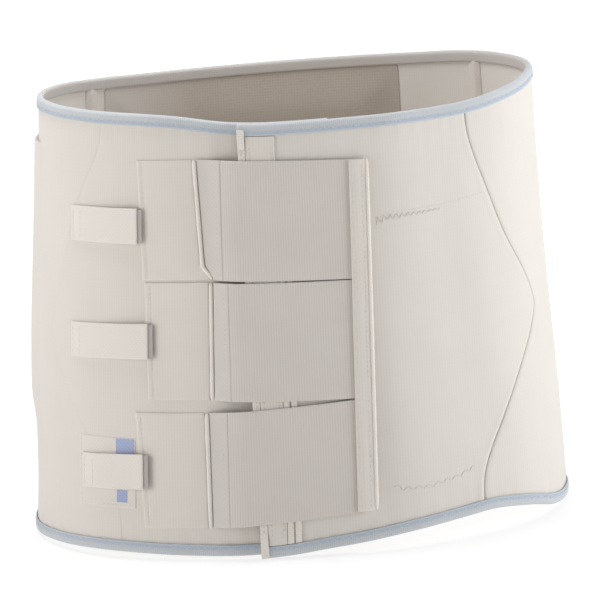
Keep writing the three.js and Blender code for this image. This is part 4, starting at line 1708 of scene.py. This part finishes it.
        # The dark strip past the tab's free end is painted shadow of the lifted end.
        shadow_strip_half = half - self.shadow_strip_inset
        shadow_strip = ClothPatch(
            left=fixed(end - self.shadow_strip_length), right=fixed(end + self.shadow_strip_reach),
            low=lambda girth: middle - shadow_strip_half + tilt(girth), high=lambda girth: middle + shadow_strip_half + tilt(girth),
            inner=lambda girth, height: lifted(girth) - self.shadow_strip_cloth,
            outer=lambda girth, height: lifted(girth) + self.shadow_strip_sink,
            step=1.0, rise=self.tab_step, radius=0.4,
        ).draft(form)
        strip = self.bench.lay(f"{sizes.name}_tab_shadow_strip", shadow_strip, TAB_SHADOW_STRIP, "tab_cloth")
        near, far = end - length + self.tab_margin, end - length + self.sewn_length
        rise = half - self.tab_margin
        paths = [np.array([(at, middle - rise + tilt(at)), (at, middle + rise + tilt(at))]) for at in (near, far)]
        paths += [level_row(lambda girth: middle + side * rise + tilt(girth), near, far) for side in (-1, 1)]
        rows = [StitchRow(path, face, thread=0.1) for path in paths]
        self.bench.sew(f"{sizes.name}_tab_stitches", rows, "tab_cloth")


@dataclass
class CareLabel:
    """A bare patch under the lowest tab, with two plain blue shapes."""

    bench: Bench
    width: float = 41
    height: float = 43
    mark_cloth: float = 0.3
    clearance: float = 0.6
    stitch_inset: float = 1.6
    marks: tuple[tuple[str, float, float, float, float], ...] = (
        ("upper", 0.305, 0.24, 0.015, 0.75), ("lower", 0.171, 0.174, 0.137, 0.077),
    )

    def build(self) -> None:
        """Lays the patch and its marks, and sews it down."""
        form = self.bench.form
        sizes = next(row for row in STRAPS if row.has_label)
        right = -EXTENSION_REACH * sizes.extension_top - self.clearance
        middle = form.height * sizes.tab_middle
        seat = LAYERS.under_top
        patch = ClothPatch(
            left=fixed(right - self.width), right=fixed(right),
            low=fixed(middle - self.height / 2), high=fixed(middle + self.height / 2),
            inner=fixed(LAYERS.cloth + HAIR), outer=fixed(seat), radius=0.4,
            relief=lambda spot: 0.12 * np.sin(spot.girth / 4.3) * np.exp(-spot.from_low / 3),
            crispness=lambda spot: mix(0.15, 0.8, smooth(20, 6, spot.from_low)),
        ).draft(form)
        piece = self.bench.lay("care_label_patch", patch, LABEL_CLOTH, "label_cloth", ("care_label",))
        top = seat + self.mark_cloth / 2
        for name, width, height, inset, low_share in self.marks:
            end, floor = right - self.width * inset, middle + self.height * (low_share - 0.5)
            mark = ClothPatch(
                left=fixed(end - self.width * width), right=fixed(end),
                low=fixed(floor), high=fixed(floor + self.height * height),
                inner=fixed(seat + HAIR), outer=fixed(top), step=1.0, rise=1.0, radius=0.3,
            ).draft(form)
            self.bench.lay(f"label_mark_{name}_dye", mark, LABEL_PRINT, "label_print", (f"label_mark_{name}",))
        left, far = right - self.width + self.stitch_inset, right - self.stitch_inset
        rise = self.height / 2 - self.stitch_inset
        corners = np.array([(left, middle + rise), (left, middle - rise), (far, middle - rise)])
        self.bench.sew("care_label_stitches", [StitchRow(corners, fixed(seat), thread=0.09)], "label_cloth")


@dataclass
class SideWrap:
    """The outer layer round the left side, which thins out to the front and below."""

    bench: Bench
    cloth: float = 2.4
    edge_cloth: float = -0.3
    front_girth: float = 152
    back_girth: float = 300
    top_margin: float = 16
    bottom_margin: float = 62
    fade: float = 68
    stitch_inset: float = 4.0

    def thickness(self, girth: Array, height: Array) -> Array:
        """Offset of the wrap's outer side.

        Args:
            girth: place round the form.
            height: height on the form.

        Returns:
            Distance out from the form.
        """
        from_front = smooth(self.fade / 2, self.fade, -self.front_girth - girth)
        from_low = smooth(0, self.bottom_margin / 2, height - self.bottom_margin)
        full = LAYERS.under_top + self.cloth
        return mix(LAYERS.cloth + self.edge_cloth, full, from_front * from_low)

    def build(self) -> None:
        """Lays the wrap and sews its back edge."""
        form = self.bench.form
        top = form.height - self.top_margin + LAYERS.cloth
        wrap = ClothPatch(
            left=fixed(-self.back_girth), right=fixed(-self.front_girth),
            low=fixed(self.bottom_margin), high=fixed(top),
            inner=lambda girth, height: np.minimum(LAYERS.cloth + HAIR, self.thickness(girth, height) - 0.2),
            outer=self.thickness, radius=0.9,
            relief=lambda spot: 0.18 * bump(spot.from_left, 2.4, 1.3),
            crispness=lambda spot: smooth(46, 68, spot.from_right),
        ).draft(form)
        piece = self.bench.lay("side_wrap_cloth", wrap, PANEL_KNIT, "panel_knit", ("side_wrap",))
        back = self.stitch_inset - self.back_girth
        paths = (
            upright(fixed(back), self.bottom_margin + self.stitch_inset, top - 5, form.height),
            level_row(fixed(top - 4.4), back, -self.front_girth - self.fade),
        )
        rows = [StitchRow(path, self.thickness, thread=ROW_THREAD) for path in paths]
        self.bench.sew("side_wrap_stitches", rows, "panel_knit")


@dataclass
class Lining:
    """The pad and the stay channels inside the back."""

    bench: Bench
    pad_cloth: float = 3
    pad_right_reach: float = 80
    pad_left_reach: float = 126
    pad_top_margin: float = 5
    pad_bottom_margin: float = 40
    pad_edge_share: float = 0.08
    crown_reach: float = 30.0
    corner: float = 4
    channel_cloth: float = 1.1
    channel_girth: float = 292
    channel_width: float = 9
    channel_edge_share: float = 0.1
    channel_margin: float = 5

    def from_side(self, girth: Array) -> Array:
        """Distance from the pad's nearer upright edge."""
        past_back = girth - self.bench.form.half_girth
        return np.minimum(self.pad_left_reach - past_back, self.pad_right_reach + past_back)

    def cut_corner(self, girth: Array) -> Array:
        """How far a rounded corner cuts into the pad's upper and lower edges."""
        inward = np.clip(self.corner - self.from_side(girth), 0, self.corner)
        return self.corner - np.sqrt(np.maximum(self.corner**2 - inward**2, 0))

    def build(self) -> None:
        """Lays the crowned pad and both channels."""
        form, back = self.bench.form, self.bench.form.half_girth

        def low(girth: Array) -> Array:
            """Lower edge of the pad."""
            return form.bottom_rim(girth) + self.pad_bottom_margin + self.cut_corner(girth)

        def high(girth: Array) -> Array:
            """Upper edge of the pad."""
            return form.top_rim(girth) - self.pad_top_margin - self.cut_corner(girth)

        def crown(girth: Array, height: Array) -> Array:
            """Offset of the pad's inner face, thin at its sewn edges and full inside.

            Args:
                girth: place round the form.
                height: height on the form.

            Returns:
                Distance out from the form.
            """
            ends = np.minimum(high(girth) - height, height - low(girth))
            near = np.minimum(self.from_side(girth), ends)
            return -LINING_RISE - self.pad_cloth * mix(self.pad_edge_share, 1, smooth(0, self.crown_reach, near))

        pad = ClothPatch(
            left=fixed(back - self.pad_right_reach), right=fixed(back + self.pad_left_reach),
            low=low, high=high, inner=crown, outer=fixed(LINING_SINK), step=2.0, rise=3.0, radius=0.8,
        ).draft(form)
        piece = self.bench.lay("back_pad_cushion", pad, PAD_CLOTH, "pad_cloth", ("back_pad",))
        for side, centre in (("right", self.channel_girth), ("left", -self.channel_girth)):
            self.lay_channel(side, centre)

    def lay_channel(self, side: str, centre: float) -> None:
        """One stay channel, raised by the stay in it.

        Args:
            side: right or left.
            centre: girth of its middle.
        """
        form, half = self.bench.form, self.channel_width / 2

        def tunnel(girth: Array, height: Array) -> Array:
            """Offset of the channel's inner face."""
            return -LINING_RISE - self.channel_cloth * mix(self.channel_edge_share, 1, bump(girth, centre, 3.2))

        def low(girth: Array) -> Array:
            """Lower end of the channel."""
            return form.bottom_rim(girth) + self.channel_margin

        def high(girth: Array) -> Array:
            """Upper end of the channel."""
            return form.top_rim(girth) - self.channel_margin

        channel = ClothPatch(
            left=fixed(centre - half), right=fixed(centre + half), low=low, high=high,
            inner=tunnel, outer=fixed(LINING_SINK), step=0.8, rise=4.0, radius=0.6,
        ).draft(form)
        self.bench.lay(
            f"inner_channel_{side}_tape", channel, LINING_TAPE, "edge_tape", (f"inner_stay_channel_{side}",),
        )


@dataclass
class Studio:
    """Camera, soft lights and the pale floor."""

    bench: Bench
    elevation: float = 11.0
    azimuth: float = -0.5
    roll: float = -3.88
    distance: float = 2.2
    aim: Place = (0.0, 0.0, 0.126)
    lit: Place = (0.0, 0.0, 0.14)
    floor_half: float = 7.0
    sensor_width: float = 36.0
    focal_share: float = 3497 / 600
    centre_share: tuple[float, float] = (6.3 / 600, 12.1 / 600)

    def set_camera(self) -> None:
        """Stands the camera where the picture was taken."""
        el, az, roll = (math.radians(v) for v in (self.elevation, self.azimuth, self.roll))
        back = Vector((math.sin(az) * math.cos(el), -math.cos(az) * math.cos(el), math.sin(el)))
        right = (-back).cross(Vector((0, 0, 1))).normalized()
        up = right.cross(-back)
        turned = right * math.cos(roll) + up * math.sin(roll)
        top = up * math.cos(roll) - right * math.sin(roll)
        shift = Vector((self.bench.shift * TO_METRES).tolist())
        place = Vector(self.aim) + shift + back * self.distance
        camera = bpy.data.objects.new("camera", bpy.data.cameras.new("camera"))
        camera.matrix_world = Matrix.Translation(place) @ Matrix((turned, top, back)).transposed().to_4x4()
        camera.data.sensor_width = self.sensor_width
        camera.data.lens = self.focal_share * self.sensor_width
        camera.data.shift_x, camera.data.shift_y = self.centre_share
        camera.data.clip_end = 50
        bpy.context.scene.collection.objects.link(camera)
        bpy.context.scene.camera = camera

    def soft_box(self, name: str, place: Place, size: float, power: float, tint: Place) -> None:
        """Hangs a square soft light that faces the belt.

        Args:
            name: the light's name.
            place: where it hangs, in metres.
            size: its side, in metres.
            power: its power in watts.
            tint: linear colour of its light.
        """
        data = bpy.data.lights.new(name, "AREA")
        data.size, data.energy, data.color = size, power, tint
        light = bpy.data.objects.new(name, data)
        light.location = place
        light.rotation_euler = (Vector(self.lit) - light.location).to_track_quat("-Z", "Y").to_euler()
        bpy.context.scene.collection.objects.link(light)

    def lay_floor(self) -> None:
        """Lays a pale floor, bright enough to run into the white background."""
        size = self.floor_half
        mesh = bpy.data.meshes.new("studio_floor")
        mesh.from_pydata([(-size, -size, 0), (size, -size, 0), (size, size, 0), (-size, size, 0)], [], [(0, 1, 2, 3)])
        floor = bpy.data.objects.new("studio_floor", mesh)
        paint = bpy.data.materials.new("pale_studio_paper")
        paint.use_nodes = True
        tree = paint.node_tree
        shader = tree.nodes["Principled BSDF"]
        shader.inputs["Roughness"].default_value = 0.9
        shader.inputs["Specular IOR Level"].default_value = 0.1
        shader.inputs["Emission Color"].default_value = (1, 1, 1, 1)
        place = add_node(tree, "ShaderNodeTexCoord").outputs["Object"]
        grain = add_node(tree, "ShaderNodeTexNoise", {"Scale": 40.0, "Detail": 3.0}, {"Vector": place})
        ramp = add_node(
            tree, "ShaderNodeMapRange", {"To Min": 0.28, "To Max": 0.32}, {"Value": grain.outputs["Fac"]},
        )
        tree.links.new(ramp.outputs["Result"], shader.inputs["Base Color"])
        reach = add_node(tree, "ShaderNodeVectorMath", {"operation": "LENGTH"}, {0: place})
        glow = add_node(
            tree, "ShaderNodeMapRange", {"From Min": 0.1, "From Max": 0.7, "To Min": 0.72, "To Max": 1.0},
            {"Value": reach.outputs["Value"]},
        )
        tree.links.new(glow.outputs["Result"], shader.inputs["Emission Strength"])
        mesh.materials.append(paint)
        bpy.context.scene.collection.objects.link(floor)

    def light_world(self) -> None:
        """White surroundings for the eye, with little light of their own."""
        world = bpy.data.worlds.new("white_surroundings")
        bpy.context.scene.world = world
        world.use_nodes = True
        tree = world.node_tree
        tree.nodes.clear()
        fill = add_node(tree, "ShaderNodeBackground", {"Color": (1, 1, 1, 1), "Strength": 0.15})
        seen = add_node(tree, "ShaderNodeBackground", {"Color": (1, 1, 1, 1), "Strength": 1.0})
        ray = add_node(tree, "ShaderNodeLightPath")
        either = add_node(
            tree, "ShaderNodeMixShader", None,
            {0: ray.outputs["Is Camera Ray"], 1: fill.outputs[0], 2: seen.outputs[0]},
        )
        add_node(tree, "ShaderNodeOutputWorld", None, {"Surface": either.outputs[0]})

    def build(self) -> None:
        """Sets the lights, the floor and the colour of the picture."""
        self.lay_floor()
        self.light_world()
        white = (1.0, 1.0, 1.0)
        for side, place, size, power, tint in (
            ("right", (1.55, -0.42, 0.38), 1.0, 18.8, (0.96, 0.98, 1.0)),
            ("left", (-1.5, -0.6, 0.45), 1.0, 12.4, (1.0, 0.99, 0.98)),
            ("behind_right", (1.5, 0.5, 0.5), 1.0, 4, white),
            ("above_left", (-0.45, 0.1, 1.3), 0.5, 3.5, white),
            ("over_waist", (-0.07, -0.02, 0.55), 0.14, 0.45, white),
            ("top", (0.0, -0.12, 1.25), 0.6, 4.5, white),
            ("behind", (0.2, 1.7, 0.6), 1.0, 7, white),
        ):
            self.soft_box(f"soft_box_{side}", place, size, power, tint)
        bpy.context.scene.view_settings.view_transform = "Standard"


def main() -> None:
    """Builds the belt piece by piece and reports each one."""
    logging.basicConfig(level=logging.INFO, format="%(message)s", force=True)
    bench = Bench(BodyForm())
    studio = Studio(bench)
    studio.set_camera()
    Panels(bench).build()
    Bindings(bench).build()
    Placket(bench).build()
    stay = StayBand(bench)
    for sizes in STRAPS:
        Strap(bench, sizes, stay).build()
    stay.build()
    CareLabel(bench).build()
    SideWrap(bench).build()
    Lining(bench).build()
    studio.build()
    LOG.info("%d pieces laid", bench.count)


if __name__ == "__main__":
    main()
